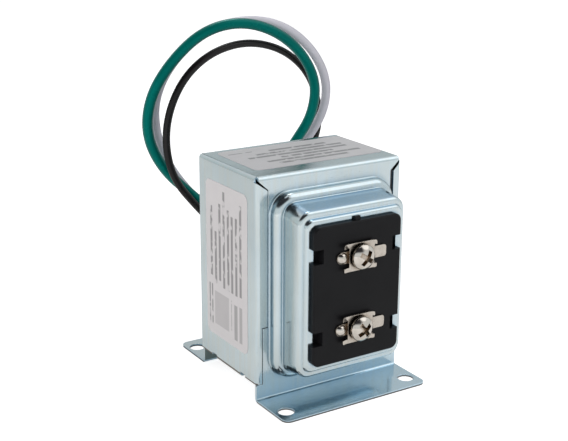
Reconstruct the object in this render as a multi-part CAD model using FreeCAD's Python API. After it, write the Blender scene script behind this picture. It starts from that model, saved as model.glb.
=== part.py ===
import FreeCAD, Part
import math
import os
from FreeCAD import Vector

# Doorbell transformer: a laminated core with its coil, in a folded steel housing on two feet, with two
# screw terminals on the front and three supply leads at the back. Millimetres, +Z up, terminals on the
# -Y side, origin on the floor in the middle of the four foot holes.

# Steel sheet of the housing
SHEET = 0.7
BEND = 0.5  # inside radius of a fold

# Laminated core: its long side stands upright and its sheets are stacked from front to back. One limb's
# width sets the whole outline of the E and I sheets.
CORE_LIMB = 9.5
CORE_STACK = 30.7
CORE_SIDE_CLEAR = 0.2
CORE_FACE_CLEAR = 0.15
HEADROOM = 3.4  # from the core to the top wall

# Folded walls
WALL_RAISE = 5.3  # from the floor to the lower edge of the walls
LEFT_LIP = 3.75  # turned-in front edges of the side walls
RIGHT_LIP = 2.65
SKIRT_LIP = 1.95  # the same edges beside the wide skirt of the front plate
SKIRT_TALL = 17.2
SEAM_LEFT = 0.15
SEAM_RIGHT = 1.2
SKIRT_SEAM = 0.2
SHOULDER_DROP = 2.7  # height of the slanted shoulders of the front plate
TOP_INSET = 0.9  # the fold over the front plate stops this far inside the side walls' outer faces
FOLD_GAP = 0.1
TOP_FLANGE = 9.0  # rear channel's flange under the top wall
FLANGE_RELIEF = 0.2  # beside the inside of the top wall's folds
REAR_FOOT_INSET = 0.45
CORE_TAB_WIDE = 14.0
CORE_TAB_LONG = 5.0
TAB_RELIEF_LONG = 2.8
TAB_RELIEF_TALL = 0.8

# Feet
FOOT_LONG = 15.6
FOOT_CORNER = 2.2
FOOT_HOLE = 4.8
FOOT_HOLE_IN = 3.55  # from the middle of a hole to the foot's end
FOOT_HOLE_OUT = 10.2  # from the plate to the middle of a hole

# Drawn dome of the front plate: three tiers, with shelves between them. Rounds at a brow are inside radii.
DOME_SIDE_MARGIN = 0.55  # flat of the plate beside the dome
DOME_END_MARGIN = 0.95  # from the dome to the core's upper and lower ends
DOME_CORNER = 6.4
DOME_TOE = 0.45  # hollow round where the dome leaves the plate
LOWER_RISE = 3.2
LOWER_LEAN_SIDE = 0.05
LOWER_LEAN_END = 0.05
LOWER_BROW = 1.2
LOWER_SHELF_SIDE = 0.05
LOWER_SHELF_END = 0.1
MIDDLE_TOE = 0.25
MIDDLE_RISE = 7.8
MIDDLE_LEAN_SIDE = 0.1
MIDDLE_LEAN_END = 1.1
MIDDLE_BROW = 0.45
MIDDLE_SHELF_SIDE = 0.05
MIDDLE_SHELF_END = 0.45
UPPER_TOE = 0.2
UPPER_WALL = 0.15  # straight part of the upper tier's wall
UPPER_LEAN = 0.35
UPPER_BROW = 0.15

# Drawn dome of the rear plate: the same lower tier, then a chamber for the lead joints
REAR_MIDDLE_RISE = 6.3
CHAMBER_LEDGE_SIDE = 3.3
CHAMBER_LEDGE_END = 4.0
CHAMBER_CORNER = 4.5

# Bobbin, windings and insulation
BOBBIN_CLEAR = 0.15
BOBBIN_WALL = 0.9
FLANGE_SIDE_CLEAR = 0.2  # between a flange and the outer limbs
FLANGE_SHORT = 0.3  # a flange stays this far inside the limb's width at front and back
FLANGE_STAND = 0.9  # a flange stands this far above the taped winding
WINDING_ROUND = 3.0
TAPE = 0.35
CARD = 0.3
CARD_INSET = 0.8
CARD_HOLE = 1.8

# Terminal block
BLOCK_SIDE_MARGIN = 1.45  # face of the dome beside the block
BLOCK_END_MARGIN = 1.65
BLOCK_PLATE = 1.6
BLOCK_CORNER = 2.2
BLOCK_BEVEL = 0.35
BLOCK_BACK_CLEAR = 0.45
BLOCK_SIDE_LAP = 0.75  # the plate covers the edge of its window this far at the sides
BLOCK_END_LAP = 2.2
BLOCK_FIT = 0.2
BLOCK_WEB = 1.8
BLOCK_SIDE_WALL = 3.1
BLOCK_END_WALL = 1.6
BLOCK_RIB = 1.6
LATCH_SPAN = 24.0
LATCH_TALL = 4.1
LATCH_IN = 3.05
LATCH_DEEP = 2.8
LATCH_BARB = 0.8
LATCH_PLAY = 0.15
NIB_WIDE = 1.7
NIB_TALL = 1.2
NIB_THICK = 0.9
TERMINAL_SPAN = 21.2

# Terminal strips, clamps, screws and rivets
STRIP_THICK = 0.5
STRIP_WIDE = 3.4
STRIP_RIGHT = 9.1
STRIP_END_ROUND = 0.8
RIVET_LEFT = 5.8
RIVET_HEAD = 3.3
RIVET_HEAD_TALL = 1.1
RIVET_SHANK = 2.0
RIVET_TAIL = 3.0
RIVET_TAIL_TALL = 0.5
RIVET_FIT = 0.05
COLLAR = 5.0
COLLAR_LONG = 1.5
COLLAR_FIT = 0.1
CLAMP_LEFT = 5.9  # from the screw to the ears' ends
CLAMP_RIGHT = 5.0
CLAMP_TALL = 8.0
CLAMP_THICK = 0.8
CLAMP_NOTCH_PLAY = 0.2  # between the left notch and the rivet's head
CLAMP_NOTCH_RIGHT = 0.7
CLAMP_EAR = 1.2  # height of an ear beside its notch
CLAMP_CURL = 0.45
CLAMP_CURL_LONG = 1.3
CLAMP_CORNER = 0.5
CLAMP_HOLE_FIT = 0.2
SCREW_HEAD = 7.2
SCREW_SIDE_TALL = 0.7  # upright side of the pan head, below its crown
SCREW_CROWN = 1.6
SCREW_RIM_ROUND = 0.6
SCREW_SHANK = 3.3
SCREW_TIP_CLEAR = 1.15
SCREW_FIT = 0.1
SCREW_STANDOFF = 0.8  # the screws are not driven home
UPPER_SCREW_TURN = 34.0  # how far each cross recess stands from upright
LOWER_SCREW_TURN = 55.0
CROSS_LONG = 4.6
CROSS_WIDE = 1.3
CROSS_SIDE_DEEP = 1.1
CROSS_DEEP = 1.8
CROSS_TAPER = 0.5
LUG_THICK = 0.4
LUG_WIDE = 3.6
LUG_EYE_OUT = 3.0  # from the rivet to the wire's eye
LUG_EYE_FIT = 0.1
LUG_EYE_EDGE = 0.9  # from the eye's middle to the lug's end
SECONDARY_WIRE = 0.7
SECONDARY_BEND = 1.05
SECONDARY_TAIL = 5.0

# Lead bushing, leads and their joints inside
BUSHING_EDGE = 1.7  # from the rim to the side of the chamber
BUSHING_DROP = 5.8  # below the middle of the core
BUSHING_HOLE = 12.0
BUSHING_FIT = 0.1
BUSHING_RIM = 15.0
BUSHING_RIM_THICK = 1.5
BUSHING_RIM_ROUND = 0.5
BUSHING_LIP = 12.9
BUSHING_LIP_THICK = 1.0
BUSHING_LIP_PLAY = 0.1
LEAD_FIT = 0.1
LEAD_INSIDE = 1.2  # the outer stretch of each lead starts this deep in the bushing
BLACK_LEAD = 2.5
WHITE_LEAD = 3.1
GREEN_LEAD = 3.5
LEAD_HOLE_DROP = 1.2  # black and white below the bushing's middle
GREEN_HOLE_RAISE = 2.4
BARE_LONG = 10.0
BARE_SHARE = 0.44  # stripped copper, as a share of the lead's diameter
TAIL_CLEAR = 0.6  # between a splice and the rear card
TAIL_BEND = 2.5
SPLICE = 3.9
SPLICE_GAP = 0.3
SPLICE_ROUND = 0.5
SPLICE_TOP_DROP = 4.3  # from the lead's hole down to the splice
PRIMARY_WIRE = 0.5
PRIMARY_GAP = 0.3
PRIMARY_DROP = 1.15  # from the splice down to the wire's run under the coil
PRIMARY_INSIDE = 4.5
GREEN_BEND = 2.9
GREEN_TAIL_UP = 7.5
BARREL_WALL = 0.7
BARREL_LONG = 4.5
BARREL_GAP = 0.3
BARREL_BORE_LONG = 3.2
EARTH_PLATE = 0.8
EARTH_RING = 8.0
EARTH_TONGUE_WIDE = 3.0
EARTH_TONGUE_LAP = 0.8
EARTH_RING_UP = 9.3  # from the barrel's lower end to the ring's middle
EARTH_RIVET = 3.2
EARTH_RIVET_HEAD = 6.0
EARTH_RIVET_TALL = 1.2
EARTH_RIVET_TAIL = 5.0
EARTH_RIVET_TAIL_TALL = 0.7
ARC_SHARE = 0.45

# Helpers for cutting and picking edges
OVER = 1.0  # cutting tools reach this far past what they cut
TRIM = 0.1  # the same for cuts that stay in the plate alone
NEAR = 1e-4
ROUND_SHY = 1e-3  # a full round stays this much under half the width

# Core and housing, worked out from the sizes
CORE_TALL = 6 * CORE_LIMB
CORE_WIDE = 5 * CORE_LIMB
WIDE = CORE_WIDE + 2 * (CORE_SIDE_CLEAR + SHEET)
DEEP = CORE_STACK + 2 * (CORE_FACE_CLEAR + SHEET)
HALF_WIDE = WIDE / 2
HALF_DEEP = DEEP / 2
WALL_TOP = WALL_RAISE + CORE_TALL + HEADROOM
TALL = WALL_TOP + SHEET
CORE_Z = WALL_RAISE + CORE_TALL / 2
FOLD = SHEET + BEND  # outside radius of a fold
BIG = 2 * (WIDE + DEEP + TALL)
LEFT_EDGE = HALF_WIDE - LEFT_LIP
RIGHT_EDGE = HALF_WIDE - RIGHT_LIP
SKIRT_EDGE = HALF_WIDE - SKIRT_LIP
SKIRT_TOP = WALL_RAISE + SKIRT_TALL
SHOULDER_TOP = TALL - FOLD
SHOULDER_LOW = SHOULDER_TOP - SHOULDER_DROP
TOP_EDGE = HALF_WIDE - TOP_INSET
FOOT_HOLE_SPAN = WIDE - 2 * FOOT_HOLE_IN

# Coil
WINDOW_LONG = CORE_WIDE - 2 * CORE_LIMB
FLANGE_HALF_Y = CORE_STACK / 2 + CORE_LIMB - FLANGE_SHORT
FLANGE_HALF_Z = 2 * CORE_LIMB - FLANGE_SIDE_CLEAR
TUBE_HALF_Y = CORE_STACK / 2 + BOBBIN_CLEAR + BOBBIN_WALL
TUBE_HALF_Z = CORE_LIMB + BOBBIN_CLEAR + BOBBIN_WALL
TAPE_HALF_Y = FLANGE_HALF_Y - FLANGE_STAND
TAPE_HALF_Z = FLANGE_HALF_Z - FLANGE_STAND
BOBBIN_HALF_X = WINDOW_LONG / 2 - BOBBIN_CLEAR
CARD_FACE = FLANGE_HALF_Y + CARD

# Dome, terminal block and terminals
DOME_HALF_X = LEFT_EDGE - SEAM_LEFT - DOME_SIDE_MARGIN
DOME_HALF_Z = CORE_TALL / 2 - DOME_END_MARGIN
LOWER_LEDGE = SHEET + LOWER_BROW + MIDDLE_TOE
MIDDLE_LEDGE = SHEET + MIDDLE_BROW + UPPER_TOE
UPPER_RISE = UPPER_TOE + UPPER_WALL + SHEET + UPPER_BROW
MIDDLE_HALF_X = DOME_HALF_X - LOWER_LEAN_SIDE - LOWER_LEDGE - LOWER_SHELF_SIDE - MIDDLE_LEAN_SIDE
MIDDLE_HALF_Z = DOME_HALF_Z - LOWER_LEAN_END - LOWER_LEDGE - LOWER_SHELF_END - MIDDLE_LEAN_END
FACE_HALF_X = MIDDLE_HALF_X - MIDDLE_LEDGE - MIDDLE_SHELF_SIDE - UPPER_LEAN
FACE_HALF_Z = MIDDLE_HALF_Z - MIDDLE_LEDGE - MIDDLE_SHELF_END - UPPER_LEAN
DOME_FACE = HALF_DEEP + LOWER_RISE + MIDDLE_RISE + UPPER_RISE
BLOCK_WIDE = 2 * (FACE_HALF_X - BLOCK_SIDE_MARGIN)
BLOCK_TALL = 2 * (FACE_HALF_Z - BLOCK_END_MARGIN)
BLOCK_FRONT = DOME_FACE + BLOCK_PLATE
BLOCK_BACK = CARD_FACE + BLOCK_BACK_CLEAR
STRIP_FACE = BLOCK_FRONT + STRIP_THICK
CLAMP_FACE = STRIP_FACE + CLAMP_THICK
WEB_BACK = BLOCK_FRONT - BLOCK_WEB
UPPER_TERMINAL = CORE_Z + TERMINAL_SPAN / 2
LOWER_TERMINAL = CORE_Z - TERMINAL_SPAN / 2
EYE_X = -RIVET_LEFT - LUG_EYE_OUT

# Rear chamber, bushing and the joints in it
TAIL_Y = CARD_FACE + TAIL_CLEAR + SPLICE / 2
BUSHING_INNER = TAIL_Y + TAIL_BEND
CHAMBER_INSIDE = BUSHING_INNER + BUSHING_LIP_THICK + BUSHING_LIP_PLAY
REAR_FACE = CHAMBER_INSIDE + SHEET
CHAMBER_RISE = REAR_FACE - HALF_DEEP - LOWER_RISE - REAR_MIDDLE_RISE
BUSHING_X = MIDDLE_HALF_X - CHAMBER_LEDGE_SIDE - UPPER_LEAN - BUSHING_EDGE - BUSHING_RIM / 2
BUSHING_Z = CORE_Z - BUSHING_DROP
LEAD_Y = REAR_FACE + BUSHING_RIM_THICK - LEAD_INSIDE
BLACK_HOLE = (BUSHING_X - (SPLICE + SPLICE_GAP) / 2, BUSHING_Z - LEAD_HOLE_DROP)
WHITE_HOLE = (BUSHING_X + (SPLICE + SPLICE_GAP) / 2, BUSHING_Z - LEAD_HOLE_DROP)
GREEN_HOLE = (BUSHING_X, BUSHING_Z + GREEN_HOLE_RAISE)
PRIMARY_Z = CORE_Z - TAPE_HALF_Z - PRIMARY_GAP - PRIMARY_WIRE / 2
SPLICE_LOW = PRIMARY_Z + PRIMARY_DROP
GREEN_Y = BUSHING_INNER - GREEN_BEND
GREEN_TOP = GREEN_HOLE[1] + GREEN_TAIL_UP
BARREL_LOW = GREEN_TOP + BARREL_GAP
EARTH_Z = BARREL_LOW + EARTH_RING_UP
GREEN_BARE = BARE_SHARE * GREEN_LEAD

# Routes of the leads outside the housing, from the bushing to the stripped end; each starts at its hole
BLACK_ROUTE = [(2.9, 38.5, 26.8), (1.6, 44.5, 28.4), (-1.8, 49.6, 32.4), (-6.6, 52.6, 38.4),
               (-14.5, 53.5, 48.5), (-17.0, 54.0, 60.5), (-15.2, 54.0, 72.0), (-9.0, 54.0, 82.5),
               (1.5, 54.5, 89.3), (15.0, 55.0, 91.5), (29.0, 56.0, 87.8), (40.0, 57.5, 79.5),
               (46.0, 59.0, 68.0), (47.0, 60.0, 57.5), (43.2, 60.5, 48.6), (37.0, 60.5, 40.5),
               (31.0, 60.5, 32.0), (28.0, 60.5, 22.4)]
GREEN_ROUTE = [(5.0, 39.5, 30.4), (3.6, 46.8, 31.4), (-0.4, 52.4, 35.2), (-7.0, 56.0, 42.0),
               (-16.5, 57.5, 51.5), (-21.8, 58.0, 63.5), (-20.2, 57.5, 76.0), (-12.8, 56.5, 86.8),
               (-2.5, 55.0, 95.6), (9.5, 53.5, 98.5), (22.0, 52.0, 95.7), (33.0, 51.0, 87.8),
               (39.4, 50.5, 76.5), (37.8, 50.5, 65.0), (31.0, 50.5, 56.4), (24.0, 51.0, 48.0),
               (18.0, 51.5, 38.8), (14.5, 52.0, 28.8)]
WHITE_ROUTE = [(7.1, 40.5, 26.8), (5.8, 48.5, 28.2), (2.0, 55.4, 32.0), (-3.6, 60.0, 39.2),
               (-11.0, 62.0, 50.0), (-15.5, 62.0, 62.0), (-15.8, 61.5, 74.5), (-9.5, 60.5, 86.5),
               (2.0, 59.0, 96.4), (15.8, 57.5, 99.5), (29.5, 56.0, 96.4), (40.5, 55.0, 87.2),
               (46.6, 54.5, 76.0), (45.6, 54.5, 65.0), (38.8, 54.5, 56.0), (30.8, 55.0, 48.0),
               (23.5, 55.5, 39.5), (19.0, 56.0, 29.5)]


# Small geometry helpers

def box(x0, x1, y0, y1, z0, z1):
    corner = Vector(min(x0, x1), min(y0, y1), min(z0, z1))
    return Part.makeBox(abs(x1 - x0), abs(y1 - y0), abs(z1 - z0), corner)


def rod(diameter, start, end):
    axis = end - start
    return Part.makeCylinder(diameter / 2, axis.Length, start, axis)


def along_y(diameter, x, z, y0, y1):
    return rod(diameter, Vector(x, y0, z), Vector(x, y1, z))


def joined(first, *others):
    shape = first
    for other in others:
        shape = shape.fuse(other)
    return shape.removeSplitter()


def without(shape, *tools):
    for tool in tools:
        shape = shape.cut(tool)
    return shape


def unit(vector):
    return Vector(vector).normalize()


def line(start, end):
    return Part.LineSegment(start, end).toShape()


def polygon(corners):
    return Part.Face(Part.makePolygon(corners + corners[:1]))


def prism(points, y0, y1):
    return polygon([Vector(x, y0, z) for x, z in points]).extrude(Vector(0, y1 - y0, 0))


def edges_along(shape, axis):
    # Straight edges that run along one axis
    others = [side for side in ("XLength", "YLength", "ZLength") if side[0] != axis]
    return [edge for edge in shape.Edges if all(getattr(edge.BoundBox, side) < NEAR for side in others)]


def edges_on(shape, loop):
    # Edges of a shape that lie on a flat loop in a plane across Y
    chosen = []
    for edge in shape.Edges:
        if edge.BoundBox.YLength > NEAR or abs(edge.BoundBox.YMin - loop.BoundBox.YMin) > NEAR:
            continue
        first, last = edge.ParameterRange
        spots = [edge.valueAt(first + (last - first) * share) for share in (0.0, 0.5, 1.0)]
        if all(Part.Vertex(spot).distToShape(loop)[0] < NEAR for spot in spots):
            chosen.append(edge)
    return chosen


def rounded_path(points, radii):
    # Straight runs joined by tangent arcs, one radius for each inner point
    edges = []
    start = points[0]
    for before, corner, after, radius in zip(points, points[1:], points[2:], radii):
        come = unit(corner - before)
        go = unit(after - corner)
        half_turn = come.getAngle(go) / 2
        reach = radius * math.tan(half_turn)
        enter = corner - come * reach
        leave = corner + go * reach
        inward = unit(go - come)
        middle = corner + inward * (radius / math.cos(half_turn) - radius)
        if (enter - start).Length > NEAR:
            edges.append(line(start, enter))
        edges.append(Part.Arc(enter, middle, leave).toShape())
        start = leave
    if (points[-1] - start).Length > NEAR:
        edges.append(line(start, points[-1]))
    return edges


def folded_section(points, place, inside=BEND, thick=SHEET):
    # Section of a folded sheet. The points run along one face of the sheet and its thickness lies on their
    # left; place puts a flat point into space.
    directions = [(b[0] - a[0], b[1] - a[1]) for a, b in zip(points, points[1:])]
    lengths = [math.hypot(*d) for d in directions]
    directions = [(d[0] / n, d[1] / n) for d, n in zip(directions, lengths)]
    lefts = [(-d[1], d[0]) for d in directions]
    far = []
    face_radii = []
    far_radii = []
    for index, point in enumerate(points):
        before = lefts[max(index - 1, 0)]
        after = lefts[min(index, len(lefts) - 1)]
        scale = thick / (1 + before[0] * after[0] + before[1] * after[1])
        far.append((point[0] + (before[0] + after[0]) * scale, point[1] + (before[1] + after[1]) * scale))
        if 0 < index < len(points) - 1:
            come = directions[index - 1]
            go = directions[index]
            turns_left = come[0] * go[1] - come[1] * go[0] > 0
            face_radii.append(inside + thick if turns_left else inside)
            far_radii.append(inside if turns_left else inside + thick)
    face = rounded_path([place(*p) for p in points], face_radii)
    back = rounded_path([place(*p) for p in far], far_radii)
    ends = [line(place(*points[0]), place(*far[0])), line(place(*points[-1]), place(*far[-1]))]
    return Part.Face(Part.Wire(Part.__sortEdges__(face + back + ends)))


def ring(half_x, half_z, corner, y):
    # Rounded rectangle about the middle of the core, in the plane at y
    flat_x = half_x - corner
    flat_z = half_z - corner
    slant = corner * math.sqrt(0.5)
    edges = []
    last = Vector(flat_x, y, CORE_Z - half_z)
    for sign_x, sign_z in ((1, -1), (1, 1), (-1, 1), (-1, -1)):
        centre = Vector(sign_x * flat_x, y, CORE_Z + sign_z * flat_z)
        low = centre + Vector(0, 0, sign_z * corner)
        side = centre + Vector(sign_x * corner, 0, 0)
        middle = centre + Vector(sign_x * slant, 0, sign_z * slant)
        first, second = (low, side) if sign_x * sign_z < 0 else (side, low)
        if (first - last).Length > NEAR:
            edges.append(line(last, first))
        edges.append(Part.Arc(first, middle, second).toShape())
        last = second
    edges.append(line(last, Vector(flat_x, y, CORE_Z - half_z)))
    return Part.Wire(edges)


def rounded_block(wide, tall, corner, y0, y1):
    return Part.Face(ring(wide / 2, tall / 2, corner, y0)).extrude(Vector(0, y1 - y0, 0))


def swept(path, diameter, points):
    profile = Part.Wire(Part.makeCircle(diameter / 2, points[0], points[1] - points[0]))
    return path.makePipeShell([profile], True, False)


def bent_wire(points, diameter, radius):
    points = [Vector(*p) for p in points]
    path = Part.Wire(rounded_path(points, [radius] * (len(points) - 2)))
    return swept(path, diameter, points)


def tube(name, points, diameter):
    # A lead outside the housing: each arc is as large as its two runs allow
    points = [Vector(*p) for p in points]
    radii = []
    for before, corner, after in zip(points, points[1:], points[2:]):
        half_turn = (corner - before).getAngle(after - corner) / 2
        shorter = min((corner - before).Length, (after - corner).Length)
        radii.append(ARC_SHARE * shorter / math.tan(half_turn))
    path = Part.Wire(rounded_path(points, radii))
    solid = swept(path, diameter, points)
    share = solid.Volume / (math.pi * diameter ** 2 / 4 * path.Length)
    print(name, "length %.1f" % path.Length, "volume share %.4f" % share)
    print(name, "radii", [round(radius, 1) for radius in radii])
    return solid


def crown_arc(radius, rim, tip):
    # Arc of a ball centred on the Y axis, from the rim to the tip
    rise = abs(tip - rim)
    ball = (radius ** 2 + rise ** 2) / (2 * rise)
    half = math.asin(radius / ball) / 2
    drop = math.copysign(ball * (1 - math.cos(half)), tip - rim)
    middle = Vector(ball * math.sin(half), tip - drop, 0)
    return Part.Arc(Vector(radius, rim, 0), middle, Vector(0, tip, 0)).toShape()


def turned(corners, tip):
    # Solid of revolution about the Y axis: a crown from the first corner to the tip, straight between the
    # corners, which end on the axis
    spots = [Vector(radius, y, 0) for radius, y in corners] + [Vector(0, tip, 0)]
    edges = [crown_arc(corners[0][0], corners[0][1], tip)]
    edges += [line(start, end) for start, end in zip(spots, spots[1:])]
    return Part.Face(Part.Wire(Part.__sortEdges__(edges))).revolve(Vector(), Vector(0, 1, 0), 360)


def rivet(head, head_tall, shank, tail, tail_tall, face, back):
    # Domed head on the face, shank, and the upset tail at the back
    side = math.copysign(1, face - back)
    end = back - side * tail_tall
    corners = [(head / 2, face), (shank / 2, face), (shank / 2, back), (tail / 2, back), (tail / 2, end),
               (0, end)]
    return turned(corners, face + side * head_tall)


# Drawn domes of the two plates

def inset(loop, side, end):
    # A smaller loop (half width, half height, corner radius) inside another
    return (loop[0] - side, loop[1] - end, loop[2] - side)


def lower_tier():
    foot = (DOME_HALF_X, DOME_HALF_Z, DOME_CORNER)
    return (foot, inset(foot, LOWER_LEAN_SIDE, LOWER_LEAN_END), LOWER_RISE, DOME_TOE, LOWER_BROW)


def middle_tier(rise):
    foot = inset(lower_tier()[1], LOWER_LEDGE + LOWER_SHELF_SIDE, LOWER_LEDGE + LOWER_SHELF_END)
    return (foot, inset(foot, MIDDLE_LEAN_SIDE, MIDDLE_LEAN_END), rise, MIDDLE_TOE, MIDDLE_BROW)


def front_tiers():
    # Each tier: its foot and top loops, its rise, the hollow round at its foot and the inside one at its brow
    middle = middle_tier(MIDDLE_RISE)
    foot = inset(middle[1], MIDDLE_LEDGE + MIDDLE_SHELF_SIDE, MIDDLE_LEDGE + MIDDLE_SHELF_END)
    upper = (foot, inset(foot, UPPER_LEAN, UPPER_LEAN), UPPER_RISE, UPPER_TOE, UPPER_BROW)
    return [lower_tier(), middle, upper]


def rear_tiers():
    middle = middle_tier(REAR_MIDDLE_RISE)
    foot = inset(middle[1], CHAMBER_LEDGE_SIDE, CHAMBER_LEDGE_END)[:2] + (CHAMBER_CORNER,)
    chamber = (foot, inset(foot, UPPER_LEAN, UPPER_LEAN), CHAMBER_RISE, DOME_TOE, MIDDLE_BROW)
    return [lower_tier(), middle, chamber]


def drawn_body(tiers, side, skin):
    # Everything behind one face of a drawn plate: skin 0 is the outer face, the sheet's thickness the inner
    level = HALF_DEEP - skin
    plane = side * level
    body = box(-BIG, BIG, plane, plane - side * BIG, CORE_Z - BIG, CORE_Z + BIG)
    rounds = []
    for foot, top, rise, toe, brow in tiers:
        loops = []
        for loop, height in ((foot, level), (top, level + rise)):
            halves = []
            for axis in (0, 1):
                lean = (foot[axis] - top[axis]) / rise
                halves.append(loop[axis] + lean * skin - skin * math.hypot(1, lean))
            loops.append(ring(halves[0], halves[1], loop[2] - skin, side * height))
        body = body.fuse(Part.makeLoft(loops, True, True))
        rounds.append((loops[0], toe + skin))
        rounds.append((loops[1], brow + SHEET - skin))
        level += rise
    body = body.removeSplitter()
    for loop, radius in rounds:
        body = body.makeFillet(radius, edges_on(body, loop))
    return body


def drawn_plate(tiers, side, half_x, half_z):
    skin = drawn_body(tiers, side, 0).cut(drawn_body(tiers, side, SHEET))
    return skin.common(box(-half_x, half_x, 0, side * BIG, CORE_Z - half_z, CORE_Z + half_z))


# Housing

def foot_holes(side):
    y = side * (HALF_DEEP + FOOT_HOLE_OUT)
    spots = [Vector(sign * FOOT_HOLE_SPAN / 2, y, 0) for sign in (-1, 1)]
    rise = Vector(0, 0, SHEET + OVER)
    return [rod(FOOT_HOLE, spot - Vector(0, 0, OVER), spot + rise) for spot in spots]


def round_foot_corners(shape, side, half_x):
    y = side * (HALF_DEEP + FOOT_LONG)
    corners = [edge for edge in edges_along(shape, "Z")
               if abs(abs(edge.BoundBox.XMax) - half_x) < NEAR and abs(edge.BoundBox.YMax - y) < NEAR]
    return shape.makeFillet(FOOT_CORNER, corners)


def front_cover():
    # Top wall, side walls, front plate and front foot are one folded sheet, with the dome drawn in the plate
    half_field = DOME_HALF_Z + DOME_TOE
    outside = -HALF_DEEP - TRIM
    behind = -HALF_DEEP + SHEET + TRIM
    outline = [(-HALF_DEEP + FOLD, TALL), (-HALF_DEEP, TALL), (-HALF_DEEP, SHEET),
               (-HALF_DEEP - FOOT_LONG, SHEET)]
    strip = folded_section(outline, lambda y, z: Vector(-HALF_WIDE, y, z)).extrude(Vector(WIDE, 0, 0))
    strip = round_foot_corners(strip, -1, HALF_WIDE)
    strip = strip.cut(box(-BIG, BIG, outside, behind, CORE_Z - half_field, CORE_Z + half_field))
    plate = joined(strip, drawn_plate(front_tiers(), -1, HALF_WIDE, half_field))
    low = WALL_RAISE - FOLD_GAP
    step = SKIRT_TOP - SKIRT_SEAM
    skirt = SKIRT_EDGE - SKIRT_SEAM
    for sign, edge in ((-1, LEFT_EDGE - SEAM_LEFT), (1, RIGHT_EDGE - SEAM_RIGHT)):
        side_cut = [(BIG, low), (skirt, low), (skirt, step), (edge, step), (edge, SHOULDER_LOW),
                    (TOP_EDGE, SHOULDER_TOP), (BIG, SHOULDER_TOP)]
        plate = plate.cut(prism([(sign * x, z) for x, z in side_cut], outside, behind))
        plate = plate.cut(box(sign * TOP_EDGE, sign * BIG, -BIG, BIG, SHOULDER_TOP, TALL + OVER))
    cover = joined(hood(), plate, front_lip(-1, LEFT_EDGE), front_lip(1, RIGHT_EDGE))
    for sign in (-1, 1):
        cover = joined(without(cover, *tab_reliefs(sign)), core_tab(sign))
    window = block_boss(0, -DOME_FACE - OVER, -DOME_FACE + SHEET + OVER)
    return without(cover, window, *foot_holes(-1))


def hood():
    # Top wall between the two side walls, from the front folds to the rear edge
    outline = [(HALF_WIDE, WALL_RAISE), (HALF_WIDE, TALL), (-HALF_WIDE, TALL), (-HALF_WIDE, WALL_RAISE)]
    start = -HALF_DEEP + FOLD
    section = folded_section(outline, lambda x, z: Vector(x, start, z))
    return section.extrude(Vector(0, HALF_DEEP - start, 0))


def front_lip(sign, edge):
    # Front edge of a side wall, turned in beside the front plate and its skirt
    wall = sign * HALF_WIDE
    outline = [(wall, -HALF_DEEP + FOLD), (wall, -HALF_DEEP), (sign * edge, -HALF_DEEP)]
    if sign > 0:
        outline.reverse()
    section = folded_section(outline, lambda x, y: Vector(x, y, WALL_RAISE))
    lip = section.extrude(Vector(0, 0, SHOULDER_TOP - WALL_RAISE))
    inner = edge - OVER
    upper_cut = [(inner, SHOULDER_LOW - SKIRT_SEAM), (edge, SHOULDER_LOW - SKIRT_SEAM),
                 (HALF_WIDE, SHOULDER_TOP - SKIRT_SEAM), (HALF_WIDE, TALL), (inner, TALL)]
    skirt_cut = [(inner, WALL_RAISE - OVER), (SKIRT_EDGE, WALL_RAISE - OVER), (SKIRT_EDGE, SKIRT_TOP),
                 (inner, SKIRT_TOP)]
    cuts = [prism([(sign * x, z) for x, z in cut], -HALF_DEEP - OVER, -HALF_DEEP + FOLD + OVER)
            for cut in (upper_cut, skirt_cut)]
    return without(lip, *cuts)


def rear_channel():
    # Rear plate between the side walls, with a flange under the top wall and the rear foot
    half_plate = HALF_WIDE - SHEET - FOLD_GAP
    half_field = DOME_HALF_Z + DOME_TOE
    hem = box(-half_plate, half_plate, HALF_DEEP - SHEET, HALF_DEEP, WALL_RAISE, CORE_Z - half_field)
    dome = drawn_plate(rear_tiers(), 1, half_plate, half_field)
    channel = joined(hem, dome, top_flange(half_plate), rear_foot(half_plate))
    through = (CHAMBER_INSIDE - OVER, REAR_FACE + OVER)
    bushing_hole = along_y(BUSHING_HOLE, BUSHING_X, BUSHING_Z, *through)
    earth_hole = along_y(EARTH_RIVET + 2 * RIVET_FIT, BUSHING_X, EARTH_Z, *through)
    return without(channel, bushing_hole, earth_hole, *foot_holes(1))


def top_flange(half):
    outline = [(HALF_DEEP, CORE_Z + DOME_HALF_Z + DOME_TOE), (HALF_DEEP, WALL_TOP),
               (HALF_DEEP - TOP_FLANGE, WALL_TOP)]
    flange = folded_section(outline, lambda y, z: Vector(-half, y, z)).extrude(Vector(2 * half, 0, 0))
    half_flange = HALF_WIDE - FOLD - FLANGE_RELIEF
    reliefs = [box(sign * half_flange, sign * BIG, 0, BIG, WALL_TOP - FOLD, WALL_TOP + OVER)
               for sign in (-1, 1)]
    return without(flange, *reliefs)


def rear_foot(half_neck):
    half = HALF_WIDE - REAR_FOOT_INSET
    neck_low = WALL_RAISE - FOLD_GAP
    outline = [(HALF_DEEP + FOOT_LONG, SHEET), (HALF_DEEP, SHEET), (HALF_DEEP, neck_low)]
    foot = folded_section(outline, lambda y, z: Vector(-half, y, z)).extrude(Vector(2 * half, 0, 0))
    foot = round_foot_corners(foot, 1, half)
    neck = box(-half_neck, half_neck, HALF_DEEP - SHEET, HALF_DEEP, neck_low, WALL_RAISE + FOLD_GAP)
    return foot.fuse(neck)


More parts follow.
